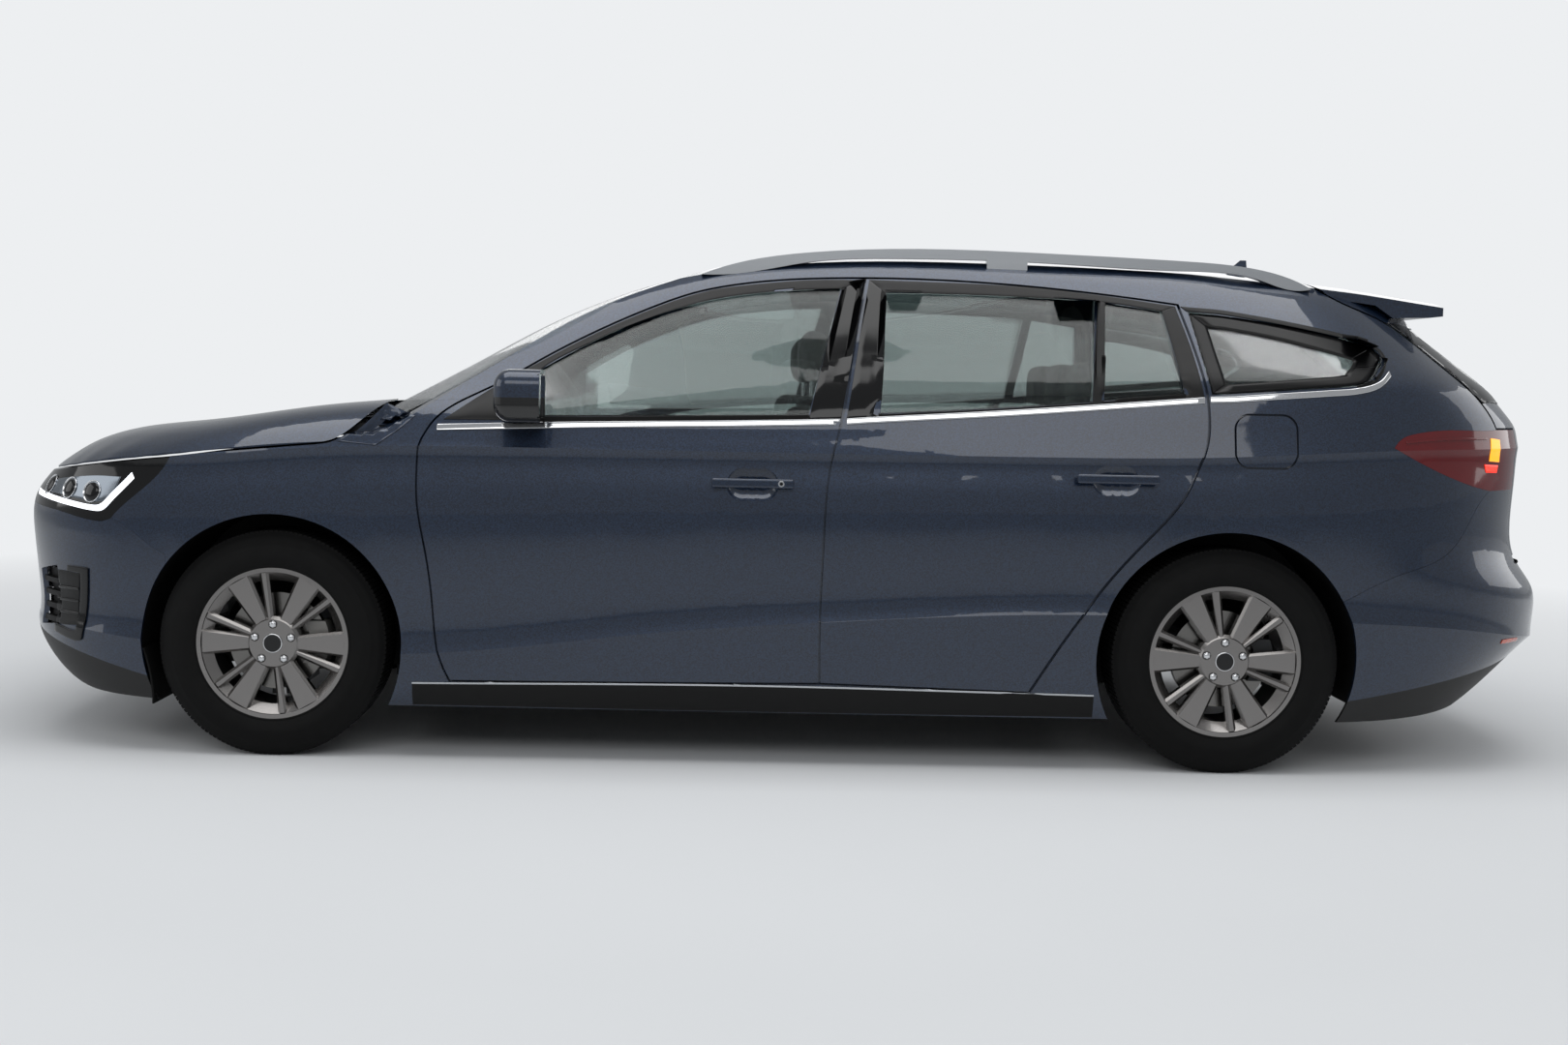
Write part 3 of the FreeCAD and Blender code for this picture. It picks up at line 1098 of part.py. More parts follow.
for opening in openings:
    room = opening.BoundBox
    bars = [block(room.XMin, room.XMax, room.YMin, room.YMax, room.ZMin + BAR_HEIGHT + BAR_PITCH * i,
                  room.ZMin + 2 * BAR_HEIGHT + BAR_PITCH * i)
            for i in range(int((room.ZLength - BAR_HEIGHT) / BAR_PITCH))]
    lattice = grille_layer.common(opening).common(Part.makeCompound(bars))
    grilles.append(largest(backing.common(opening).fuse(lattice)))
keep("front_grilles", *grilles)

# Tail: lamps, tailgate with its spoiler, and bumper
LAMP_INNER_Y = BODY_HALF_WIDTH * LAMP_INNER_SHARE
tail_lamp = side_slab((0, 0), (LAMP_DEPTH, LAMP_DEPTH)).common(side_prism(TAIL_LAMP_REGION)).cut(
    block(REAR_AXLE_X, 2 * TAIL_X, -LAMP_INNER_Y, 0, 0, BODY_HEIGHT))
tail_lamp = largest(tail_lamp)
keep("tail_lamps", tail_lamp, mirrored(tail_lamp))
TAILGATE_HALF = LAMP_INNER_Y - PANEL_GAP
upper_room = side_prism(TAILGATE_ROOM_SHARES, [-PANEL_GAP, -PANEL_GAP, 0, 0, -PANEL_GAP])
lower_room = block(REAR_AXLE_X + OVERRUN, TAIL_X + OVERRUN, -TAILGATE_HALF, 0,
                   BODY_HEIGHT * TAILGATE_LOW_SHARE, BODY_HEIGHT * TAILGATE_JOIN_SHARE)
tailgate_room = upper_room.fuse(lower_room)
tailgate_room = tailgate_room.fuse(mirrored(tailgate_room))
tailgate_wrap = tail_slab(0, TAILGATE_DEPTH, (3, 10, 19)).common(tailgate_room)
rear_window = front_prism(REAR_WINDOW_SHARES, REAR_AXLE_X + OVERRUN, TAIL_X + OVERRUN)
LIP_X = station_x(SPOILER_LIP_SHARE)
spoiler = ROOF.common(block(SPLIT_X + ROOF_SPLIT_GAP, LIP_X, -BODY_HALF_WIDTH, BODY_HALF_WIDTH, 0,
                            2 * BODY_HEIGHT)).common(tailgate_room)
wedge_side = side_prism([[first, second] for first, second in
                         zip(SPOILER_SHARES, SPOILER_SHARES[1:] + SPOILER_SHARES[:1])])
wedge = roof_slab(ROOF_WALL / 2, SPOILER_DEPTH).common(wedge_side.fuse(mirrored(wedge_side)))
wedge = wedge.common(tailgate_room).common(block(SPLIT_X, LIP_X, -BODY_HALF_WIDTH, BODY_HALF_WIDTH, 0,
                                                 2 * BODY_HEIGHT))
tailgate = tailgate_wrap.cut(rear_window).fuse([largest(spoiler), largest(wedge)])
tailgate = tailgate.cut([tail_slot(TAIL_LEAF_Y), tail_slot(-TAIL_LEAF_Y)])
keep("tailgate", largest(tailgate))
rear_glass = tail_slab(GLASS_SINK, GLASS_SINK + GLASS_WALL, (10, 19)).common(
    front_prism([(y * REAR_GLASS_WIDTH_SHARE, z) for y, z in REAR_WINDOW_SHARES],
                REAR_AXLE_X + OVERRUN, TAIL_X + OVERRUN))
keep("tailgate_glass", largest(rear_glass))
rear_bumper_room = side_prism(REAR_BUMPER_REGION)
rear_bumper_room = rear_bumper_room.fuse(mirrored(rear_bumper_room))
rear_bumper = tail_slab(0, BUMPER_WALL, (0, 3, 10)).common(rear_bumper_room).cut([
    block(REAR_AXLE_X, TAIL_X + OVERRUN, -TAILGATE_HALF - PANEL_GAP, TAILGATE_HALF + PANEL_GAP,
          BODY_HEIGHT * BUMPER_LEDGE_SHARE, BODY_HEIGHT), ARCH_REAR, mirrored(ARCH_REAR)])
keep("rear_bumper", largest(rear_bumper))


# Wheels
def turned(profile):
    """Revolve a closed profile of (radius, outward) points about a wheel axis along Y."""
    points = [Vector(radius, outward_y, 0) for radius, outward_y in profile]
    return Part.Face(Part.makePolygon(points + points[:1])).revolve(Vector(0, 0, 0), Vector(0, 1, 0), 360)


def spoke(root, tip, width_in, width_out, hub_back, face):
    """Give a tapered spoke from the hub to the rim along +X, bevelled on its face."""
    sections = []
    for radius, width, front in ((root, width_in, hub_back - HUB_THICKNESS + SPOKE_BEVEL / 2),
                                 (tip, width_out, face + SPOKE_BEVEL)):
        half = width / 2
        outline = [Vector(radius, front + SPOKE_DEPTH, -half), Vector(radius, front + SPOKE_BEVEL, -half),
                   Vector(radius, front, -half + SPOKE_BEVEL), Vector(radius, front, half - SPOKE_BEVEL),
                   Vector(radius, front + SPOKE_BEVEL, half), Vector(radius, front + SPOKE_DEPTH, half)]
        sections.append(Part.makePolygon(outline + outline[:1]))
    return Part.makeLoft(sections, True, True)


def rim_solid():
    """Give a left wheel's rim about the origin, its face towards -Y."""
    face = -TYRE_WIDTH / 2 + RIM_SINK
    back = TYRE_WIDTH / 2 - RIM_SINK
    inner = RIM_RADIUS - BEAD_DEPTH
    barrel = turned([(RIM_RADIUS + RIM_LIP, face), (RIM_RADIUS + RIM_LIP, face + RIM_WALL),
                     (RIM_RADIUS, face + 2 * RIM_WALL), (RIM_RADIUS, face + RIM_LIP + 3 * RIM_WALL),
                     (inner, face + 2 * RIM_LIP + 3 * RIM_WALL), (inner, back - 3 * RIM_LIP),
                     (RIM_RADIUS, back - 2 * RIM_WALL), (RIM_RADIUS + RIM_LIP, back - RIM_WALL),
                     (RIM_RADIUS + RIM_LIP, back), (RIM_RADIUS - RIM_WALL, back),
                     (inner - RIM_WALL, back - 2 * RIM_LIP), (inner - RIM_WALL, face + 2 * RIM_LIP + RIM_WALL),
                     (RIM_RADIUS, face + RIM_WALL), (RIM_RADIUS, face)])
    hub_back = -HUB_OFFSET
    hub = turned([(0, hub_back - HUB_THICKNESS), (HUB_RADIUS - RIM_WALL, hub_back - HUB_THICKNESS),
                  (HUB_RADIUS, hub_back - HUB_THICKNESS + RIM_WALL), (HUB_RADIUS, hub_back), (0, hub_back)])
    spokes = []
    for i in range(SPOKE_COUNT):
        for width_in, width_out, angle in ((THICK_SPOKE_IN, THICK_SPOKE_OUT, 0),
                                           (THIN_SPOKE_IN, THIN_SPOKE_OUT, THIN_SPOKE_ANGLE)):
            blade = spoke(HUB_RADIUS - RIM_WALL, RIM_RADIUS - SPOKE_TIP_GAP, width_in, width_out, hub_back,
                          face)
            blade.rotate(Vector(0, 0, 0), Vector(0, 1, 0), angle + i * 360 / SPOKE_COUNT)
            spokes.append(blade)
    lug_angles = [math.radians(90 + 360 * i / LUG_COUNT) for i in range(LUG_COUNT)]
    bores = [across(LUG_CIRCLE / 2 * math.cos(angle), -TYRE_WIDTH, LUG_CIRCLE / 2 * math.sin(angle), LUG_BORE,
                    2 * TYRE_WIDTH) for angle in lug_angles]
    return largest(barrel.fuse([hub, *spokes]).cut(bores))


def rim_room():
    """Give the space that the rim needs inside the tyre."""
    face = TYRE_WIDTH / 2 - RIM_SINK + SEAT_GAP
    return turned([(0, -face), (RIM_RADIUS + RIM_LIP + SEAT_GAP, -face),
                   (RIM_RADIUS + RIM_LIP + SEAT_GAP, -face + RIM_WALL + 2 * SEAT_GAP),
                   (RIM_RADIUS + SEAT_GAP, -face + 2 * RIM_WALL + 2 * SEAT_GAP),
                   (RIM_RADIUS + SEAT_GAP, face - 2 * RIM_WALL - 2 * SEAT_GAP),
                   (RIM_RADIUS + RIM_LIP + SEAT_GAP, face - RIM_WALL - 2 * SEAT_GAP),
                   (RIM_RADIUS + RIM_LIP + SEAT_GAP, face), (0, face)])


def tyre_solid():
    """Give a tyre about the origin, from its bead seats to its tread."""
    inner = RIM_RADIUS + SEAT_GAP
    height = TYRE_RADIUS - inner
    side = [Vector(inner + height * rise, TYRE_WIDTH * out, 0) for rise, out in TYRE_SHARES]
    other = [Vector(point.x, -point.y, 0) for point in reversed(side[:-1])]
    base = Part.LineSegment(other[-1], side[0]).toShape()
    solid = Part.Face(Part.Wire([smooth_edge(side + other), base])).revolve(
        Vector(0, 0, 0), Vector(0, 1, 0), 360)
    return largest(solid.cut(rim_room()))


rim = rim_solid()
tyre = tyre_solid()
disc = across(0, -DISC_OFFSET - DISC_WALL, 0, DISC_RADIUS, DISC_WALL).fuse(
    across(0, -HUB_OFFSET + SEAT_GAP, 0, HAT_RADIUS, HUB_OFFSET - DISC_OFFSET - SEAT_GAP))
for name, axle_x in (("front", FRONT_AXLE_X), ("rear", REAR_AXLE_X)):
    placed = [moved(shape, axle_x, -TRACK_HALF, WHEEL_HEIGHT) for shape in (rim, disc, tyre)]
    keep("rim_" + name + "_left", placed[0], placed[1])
    keep("tyre_" + name + "_left", placed[2])
    keep("rim_" + name + "_right", mirrored(placed[0]), mirrored(placed[1]))
    keep("tyre_" + name + "_right", mirrored(placed[2]))


# Knuckles and hub carriers
def caliper(x):
    """Give a left brake caliper that straddles the disc behind an axle."""
    disc_face = -DISC_BACK_Y - DISC_WALL - DISC_GAP
    body = across(x, disc_face - CALIPER_WALL, WHEEL_HEIGHT, DISC_RADIUS + CALIPER_RISE, CALIPER_DEPTH)
    body = body.cut(across(x, -TRACK_HALF - TYRE_WIDTH, WHEEL_HEIGHT, DISC_RADIUS - PAD_REACH, 2 * TYRE_WIDTH))
    body = body.cut(across(x, disc_face, WHEEL_HEIGHT, DISC_RADIUS + DISC_GAP, DISC_WALL + 2 * DISC_GAP))
    return body.common(block(x + CALIPER_START, x + 2 * DISC_RADIUS, -BODY_HALF_WIDTH, 0,
                             WHEEL_HEIGHT - CALIPER_HEIGHT / 2, WHEEL_HEIGHT + CALIPER_HEIGHT / 2))


def carrier(x):
    """Give a left hub carrier with its caliper."""
    core = across(x, -DISC_BACK_Y + SEAT_GAP, WHEEL_HEIGHT, KNUCKLE_RADIUS, KNUCKLE_DEPTH)
    back = -DISC_BACK_Y + BRIDGE_SETBACK
    bridge = block(x, x + DISC_RADIUS - BRIDGE_STOP, back, back + BRIDGE_DEPTH,
                   WHEEL_HEIGHT - BRIDGE_HEIGHT / 2, WHEEL_HEIGHT + BRIDGE_HEIGHT / 2)
    return core.fuse([bridge, caliper(x)])


def knuckle(x):
    """Give a left steering knuckle: hub carrier, leg and ball stud on the steering axis."""
    back = -DISC_BACK_Y + BRIDGE_SETBACK
    leg = block(x - LEG_WIDTH / 2, x + LEG_WIDTH / 2, back, back + LEG_DEPTH, WHEEL_HEIGHT - BALL_DROP,
                WHEEL_HEIGHT)
    stud = Part.makeCylinder(STUD_RADIUS, WHEEL_HEIGHT - BALL_DROP - ARM_TOP,
                             Vector(x, -KINGPIN_Y, ARM_TOP + SEAT_GAP), Vector(0, 0, 1))
    return largest(carrier(x).fuse([leg, stud]))


front_knuckle = knuckle(FRONT_AXLE_X)
keep("knuckle_left", front_knuckle)
keep("knuckle_right", mirrored(front_knuckle))


# Floor with tunnel, bulkheads, rails under the bonnet and lift pads
def wide_block(x_start, x_end, z_start, z_end, half=CABIN_HALF):
    """Give a box that runs across the car."""
    return block(x_start, x_end, -half, half, z_start, z_end)


DASH_X = station_x(DASH_SHARE)
HEEL_X = station_x(HEEL_SHARE)
RISER_X = station_x(RISER_SHARE)
BACK_WALL_X = station_x(BACK_WALL_SHARE)
SEAT_PAN_LOW = SEAT_PAN_TOP - FLOOR_WALL
RAIL_START_X = station_x(CHASSIS_RAIL_SHARE)
floor_parts = [
    wide_block(DASH_X - FLOOR_WALL, DASH_X, FLOOR_BOTTOM, BODY_HEIGHT * FIREWALL_SHARE),
    wide_block(HEEL_X, HEEL_X + FLOOR_WALL, FLOOR_BOTTOM, SEAT_PAN_TOP),
    wide_block(HEEL_X, RISER_X, SEAT_PAN_LOW, SEAT_PAN_TOP),
    wide_block(RISER_X - FLOOR_WALL, RISER_X, SEAT_PAN_LOW, LOAD_FLOOR_TOP),
    wide_block(RISER_X, BACK_WALL_X, LOAD_FLOOR_TOP - FLOOR_WALL, LOAD_FLOOR_TOP),
    wide_block(BACK_WALL_X, BACK_WALL_X + FLOOR_WALL, BACK_WALL_FOOT, LOAD_FLOOR_TOP, BACK_WALL_HALF),
    wide_block(station_x(CRASH_BEAM_SHARES[0]), station_x(CRASH_BEAM_SHARES[1]), CHASSIS_RAIL_LOW,
               CHASSIS_RAIL_LOW + CHASSIS_RAIL_HEIGHT, CRASH_BEAM_HALF),
    wide_block(DASH_X - FLOOR_WALL, HEEL_X + FLOOR_WALL, FLOOR_BOTTOM, TUNNEL_TOP, TUNNEL_HALF)]
rail = block(RAIL_START_X, DASH_X, -CHASSIS_RAIL_Y - CHASSIS_RAIL_WIDTH / 2,
             -CHASSIS_RAIL_Y + CHASSIS_RAIL_WIDTH / 2, CHASSIS_RAIL_LOW, CHASSIS_RAIL_LOW + CHASSIS_RAIL_HEIGHT)
posts = [Part.makeCylinder(POST_RADIUS, CHASSIS_RAIL_LOW - SUBFRAME_TOP, Vector(x, -CHASSIS_RAIL_Y,
                           SUBFRAME_TOP + SEAT_GAP), Vector(0, 0, 1))
         for x in (FRONT_AXLE_X - SUBFRAME_AHEAD + POST_INSET, FRONT_AXLE_X + SUBFRAME_BEHIND - POST_INSET)]
pads = [block(x - LIFT_LENGTH / 2, x + LIFT_LENGTH / 2, -LIFT_Y - LIFT_WIDTH / 2, -LIFT_Y + LIFT_WIDTH / 2,
              FLOOR_BOTTOM - LIFT_HEIGHT, FLOOR_BOTTOM) for x in (LIFT_FRONT_X, LIFT_REAR_X)]
floor_pan = wide_block(DASH_X, HEEL_X, FLOOR_BOTTOM, FLOOR_TOP)
floor_pan = floor_pan.fuse(floor_parts + [twin for shape in (rail, *posts, *pads) for twin in both(shape)])
tunnel = wide_block(DASH_X - OVERRUN, HEEL_X + OVERRUN, FLOOR_BOTTOM - OVERRUN, TUNNEL_TOP - FLOOR_WALL,
                    TUNNEL_HALF - FLOOR_WALL)
houses = [across(x, -BODY_HALF_WIDTH - OVERRUN, WHEEL_HEIGHT, ARCH_RADIUS + LINER_ROOM,
                 BODY_HALF_WIDTH + OVERRUN - inner_y)
          for x, inner_y in ((FRONT_AXLE_X, FRONT_HOUSE_Y), (REAR_AXLE_X, REAR_HOUSE_Y))]
floor_pan = floor_pan.cut([tunnel, SIDE_ROOM, mirrored(SIDE_ROOM)]
                          + [twin for shape in houses for twin in both(shape)])
keep("floor_pan", largest(floor_pan))


def liner(x, house_y):
    """Give a left wheelhouse liner: a curved shell over the wheel with a notched inner wall."""
    inner_y = house_y + LINER_SETBACK
    shell = across(x, -BODY_HALF_WIDTH, WHEEL_HEIGHT, ARCH_RADIUS + LINER_GAP + LINER_WALL,
                   BODY_HALF_WIDTH - inner_y)
    shell = shell.cut([across(x, -BODY_HALF_WIDTH, WHEEL_HEIGHT, ARCH_RADIUS + LINER_GAP,
                              BODY_HALF_WIDTH - inner_y - LINER_WALL),
                       block(x - AXLE_NOTCH_HALF, x + AXLE_NOTCH_HALF, -BODY_HALF_WIDTH, 0, 0,
                             WHEEL_HEIGHT + AXLE_NOTCH_RISE),
                       LINER_LIMIT, TAIL_LIMIT])
    return largest(shell.common(block(x - 2 * ARCH_RADIUS, x + 2 * ARCH_RADIUS, -BODY_HALF_WIDTH, 0,
                                      LINER_FOOT, BODY_HEIGHT)))


liners = [liner(FRONT_AXLE_X, FRONT_HOUSE_Y), liner(REAR_AXLE_X, REAR_HOUSE_Y)]
keep("arch_liners", *[side for shape in liners for side in both(shape)])

# Running gear carried by the body
subframe = block(FRONT_AXLE_X - SUBFRAME_AHEAD, FRONT_AXLE_X + SUBFRAME_BEHIND, -SUBFRAME_HALF, SUBFRAME_HALF,
                 SUBFRAME_LOW, SUBFRAME_TOP)
arm = block(FRONT_AXLE_X - ARM_HALF_LENGTH, FRONT_AXLE_X + ARM_HALF_LENGTH, -KINGPIN_Y - ARM_TIP,
            -SUBFRAME_HALF + ARM_TIP, ARM_LOW, ARM_TOP)
keep("front_subframe", largest(subframe.fuse(both(arm))))
BEAM_HEIGHT = WHEEL_HEIGHT - BEAM_DROP
BEAM_HALF = DISC_BACK_Y - BEAM_END
beam_tube = across(REAR_AXLE_X + BEAM_SETBACK, -BEAM_HALF, BEAM_HEIGHT, BEAM_RADIUS, 2 * BEAM_HALF)
BUSH_HEIGHT = SEAT_PAN_LOW - SEAT_GAP - TRAIL_BUSH_RADIUS
trail_arm = block(TRAIL_BUSH_X, REAR_AXLE_X + BEAM_SETBACK, -TRAIL_ARM_Y - TRAIL_ARM_WIDTH / 2,
                  -TRAIL_ARM_Y + TRAIL_ARM_WIDTH / 2, BUSH_HEIGHT - TRAIL_ARM_HEIGHT / 2,
                  BUSH_HEIGHT + TRAIL_ARM_HEIGHT / 2).fuse(
    across(TRAIL_BUSH_X, -TRAIL_ARM_Y - TRAIL_BUSH_LENGTH / 2, BUSH_HEIGHT, TRAIL_BUSH_RADIUS,
           TRAIL_BUSH_LENGTH))
rear_axle = beam_tube.fuse([*both(carrier(REAR_AXLE_X)), *both(trail_arm)])
keep("rear_axle_beam", largest(rear_axle))
ENGINE_REAR_X = FRONT_AXLE_X + ENGINE_BEHIND
MOUNT_HEIGHT = CHASSIS_RAIL_LOW + CHASSIS_RAIL_HEIGHT / 2
MOUNT_HALF = CHASSIS_RAIL_Y - CHASSIS_RAIL_WIDTH / 2 - SEAT_GAP
engine = wide_block(FRONT_AXLE_X - ENGINE_AHEAD, ENGINE_REAR_X, ENGINE_LOW, ENGINE_TOP, ENGINE_HALF).fuse(
    across(FRONT_AXLE_X, -MOUNT_HALF, MOUNT_HEIGHT, ENGINE_MOUNT_RADIUS, 2 * MOUNT_HALF))
keep("engine_block", engine)

# Exhaust: down pipe, long pipe in the tunnel, silencer, tail pipe and hangers
PIPE_X = ENGINE_REAR_X + SEAT_GAP + PIPE_RADIUS
PAN_LOW = LOAD_FLOOR_TOP - FLOOR_WALL
exhaust = rounded_block(SILENCER_X, SILENCER_X + SILENCER_LENGTH, SILENCER_Y, SILENCER_Y + SILENCER_WIDTH,
                        SILENCER_LOW, SILENCER_LOW + SILENCER_HEIGHT, SILENCER_ROUND)
exhaust = exhaust.fuse([
    Part.makeCylinder(PIPE_RADIUS, DOWN_PIPE_TOP - PIPE_HEIGHT, Vector(PIPE_X, 0, PIPE_HEIGHT),
                      Vector(0, 0, 1)),
    Part.makeSphere(PIPE_RADIUS, Vector(PIPE_X, 0, PIPE_HEIGHT)),
    Part.makeCylinder(PIPE_RADIUS, SILENCER_X + SILENCER_ROUND - PIPE_X, Vector(PIPE_X, 0, PIPE_HEIGHT),
                      Vector(1, 0, 0)),
    Part.makeCylinder(TAIL_PIPE_RADIUS, TAIL_PIPE_LENGTH,
                      Vector(SILENCER_X + SILENCER_LENGTH - SILENCER_ROUND / 2, TAIL_PIPE_Y, TAIL_PIPE_HEIGHT),
                      Vector(TAIL_PIPE_LENGTH, 0, -TAIL_PIPE_DROP)),
    *[Part.makeCylinder(HANGER_RADIUS, PAN_LOW - SEAT_GAP - PIPE_HEIGHT, Vector(
        SILENCER_X + SILENCER_LENGTH / 2, y, PIPE_HEIGHT), Vector(0, 0, 1))
      for y in (SILENCER_Y + SILENCER_ROUND * 2, TAIL_PIPE_Y)]])
keep("exhaust", exhaust)


# Seats
def standing_block(start_x, wall, middle_y, width, low, top, radius):
    """Give a rounded upright pad behind a plane."""
    return rounded_block(start_x, start_x + wall, middle_y - width / 2, middle_y + width / 2, low, top, radius)


seat = rounded_block(SEAT_FRONT_X, SEAT_REAR_X, -SEAT_MIDDLE_Y - SEAT_WIDTH / 2, -SEAT_MIDDLE_Y + SEAT_WIDTH / 2,
                     CUSHION_LOW, CUSHION_TOP, SEAT_ROUND)
seat = seat.fuse([
    standing_block(SEAT_BACK_X, SEAT_BACK_WALL, -SEAT_MIDDLE_Y, SEAT_WIDTH - 2 * SEAT_BACK_INSET,
                   SEAT_BACK_LOW, SEAT_BACK_TOP, SEAT_ROUND),
    standing_block(HEAD_X, HEAD_WALL, -SEAT_MIDDLE_Y, HEAD_WIDTH, HEAD_LOW, HEAD_TOP, HEAD_ROUND),
    block(HEAD_X + NECK_WALL, HEAD_X + 2 * NECK_WALL, -SEAT_MIDDLE_Y - NECK_WIDTH / 2,
          -SEAT_MIDDLE_Y + NECK_WIDTH / 2, NECK_LOW, NECK_TOP),
    block(SEAT_FRONT_X + SEAT_FOOT_INSET, SEAT_REAR_X - SEAT_FOOT_INSET, -SEAT_MIDDLE_Y - SEAT_FOOT_WIDTH / 2,
          -SEAT_MIDDLE_Y + SEAT_FOOT_WIDTH / 2, FLOOR_TOP, SEAT_FOOT_TOP)])
keep("front_seats", seat, mirrored(seat))
bench = rounded_block(BENCH_FRONT_X, BENCH_REAR_X, -BENCH_HALF, BENCH_HALF, SEAT_PAN_TOP + SEAT_GAP,
                      BENCH_TOP, SEAT_ROUND)
bench = bench.fuse([standing_block(BENCH_BACK_X, BENCH_BACK_WALL, 0, 2 * BENCH_BACK_HALF, BENCH_BACK_LOW,
                                   BENCH_BACK_TOP, SEAT_ROUND)]
                   + [standing_block(BENCH_BACK_X + BENCH_BACK_WALL - BENCH_HEAD_WALL, BENCH_HEAD_WALL, y,
                                     BENCH_HEAD_WIDTH, BENCH_HEAD_LOW, BENCH_HEAD_TOP, BENCH_HEAD_ROUND)
                      for y in (-BENCH_HEAD_Y, 0, BENCH_HEAD_Y)])
keep("rear_bench", bench)

# Dashboard with console and steering column, and the steering wheel
STEER_AXIS = Vector(math.cos(math.radians(STEERING_TILT)), 0, math.sin(math.radians(STEERING_TILT)))
STEER_MIDDLE = Vector(STEERING_X, STEERING_Y, STEERING_Z)
profile = Part.Face(Part.makePolygon([at(*share) for share in DASH_PROFILE_SHARES + DASH_PROFILE_SHARES[:1]]))
profile.translate(Vector(DASH_GAP, -DASH_HALF, 0))
dash = profile.extrude(Vector(0, 2 * DASH_HALF, 0))
console_low = TUNNEL_TOP + SEAT_GAP
dash = dash.fuse([
    wide_block(station_x(CONSOLE_SHARES[0]), station_x(CONSOLE_SHARES[1]), console_low, CONSOLE_TOP,
               CONSOLE_HALF),
    wide_block(station_x(CONSOLE_FRONT_SHARES[0]), station_x(CONSOLE_FRONT_SHARES[1]), console_low,
               CONSOLE_FRONT_TOP, CONSOLE_HALF),
    Part.makeCylinder(COLUMN_RADIUS, COLUMN_LENGTH - BOSS_BACK - SEAT_GAP,
                      STEER_MIDDLE - STEER_AXIS * COLUMN_LENGTH,
                      STEER_AXIS)])
dash = dash.cut([SIDE_ROOM, mirrored(SIDE_ROOM), screen_slab(-SCREEN_ROOM, DASH_SCREEN_GAP)])
keep("dashboard", largest(dash))
ring = Part.makeTorus(STEERING_RADIUS, GRIP_RADIUS, STEER_MIDDLE, STEER_AXIS)
boss = Part.makeCylinder(BOSS_RADIUS, BOSS_LENGTH, STEER_MIDDLE - STEER_AXIS * BOSS_BACK, STEER_AXIS)
bar = Part.makeBox(BAR_WALL, 2 * STEERING_RADIUS, BAR_WIDTH, Vector(-BAR_WALL / 2, -STEERING_RADIUS,
                                                                    -BAR_WIDTH / 2))
bar.rotate(Vector(0, 0, 0), Vector(0, 1, 0), -STEERING_TILT)
bar.translate(STEER_MIDDLE)
keep("steering_wheel", ring.fuse([boss, bar]))

# Cowl, roof rails and mirrors
cowl = screen_slab(-COWL_DEPTH, -SEAT_GAP).common(
    wide_block(NOSE_X, 0, BODY_HEIGHT * COWL_LOW_SHARE, BODY_HEIGHT * COWL_TOP_SHARE, COWL_HALF))
cowl = cowl.cut([FRAME, mirrored(FRAME), fender, mirrored(fender)])
keep("cowl_panel", largest(cowl))
rail_edges = [smooth_edge([at(*share) for share in shares]) for shares in (RAIL_TOP_SHARES, RAIL_LOW_SHARES)]
rail_face = Part.Face(Part.Wire(rail_edges))
rail_face.translate(Vector(0, -RAIL_MIDDLE_Y - RAIL_THICKNESS / 2, 0))
foot_x = (station_x(RAIL_TOP_SHARES[0][0]) + station_x(RAIL_TOP_SHARES[-1][0])) / 2
foot_top = follow(RAIL_TOP_SHARES, x_station(foot_x)) * BODY_HEIGHT - RAIL_THICKNESS / 2
foot = block(foot_x - RAIL_FOOT_LENGTH / 2, foot_x + RAIL_FOOT_LENGTH / 2, -RAIL_MIDDLE_Y - RAIL_THICKNESS / 2,
             -RAIL_MIDDLE_Y + RAIL_THICKNESS / 2, foot_top - 2 * RAIL_THICKNESS, foot_top)
roof_rail = largest(rail_face.extrude(Vector(0, RAIL_THICKNESS, 0)).fuse(foot).cut([ROOF, FRAME]))
keep("roof_rails", roof_rail, mirrored(roof_rail))
shell = rounded_block(MIRROR_FRONT_X, MIRROR_REAR_X + MIRROR_ROUND, -MIRROR_OUTER_Y, -MIRROR_INNER_Y,
                      MIRROR_LOW, MIRROR_TOP, MIRROR_ROUND)
shell = shell.common(block(MIRROR_FRONT_X, MIRROR_REAR_X, -MIRROR_OUTER_Y, -MIRROR_INNER_Y, MIRROR_LOW,
                           MIRROR_TOP))
shell = shell.cut(rounded_block(MIRROR_REAR_X - MIRROR_SINK, MIRROR_REAR_X + MIRROR_ROUND + OVERRUN,
                                -MIRROR_OUTER_Y + MIRROR_RIM, -MIRROR_INNER_Y - MIRROR_RIM,
                                MIRROR_LOW + MIRROR_RIM, MIRROR_TOP - MIRROR_RIM, MIRROR_SINK / 2))
stalk = block(STALK_FRONT_X, STALK_REAR_X, -STALK_OUTER_Y, -STALK_INNER_Y, STALK_LOW, STALK_TOP)
mirror = largest(shell.fuse(stalk).cut([front_door, side_slab((-SEAT_GAP, -SEAT_GAP),
                                                             (DOOR_DEPTH, PILLAR_DEPTH))]))
keep("mirror_left", mirror)
keep("mirror_right", mirrored(mirror))

os.makedirs("parts", exist_ok=True)
for name, shape in NODES.items():
    shape.exportStep("parts/" + name + ".step")
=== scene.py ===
import json
import logging
import math
from collections.abc import Callable, Sequence
from dataclasses import dataclass
from enum import Enum

import bmesh
import bpy
from mathutils import Matrix, Vector
from mathutils.bvhtree import BVHTree

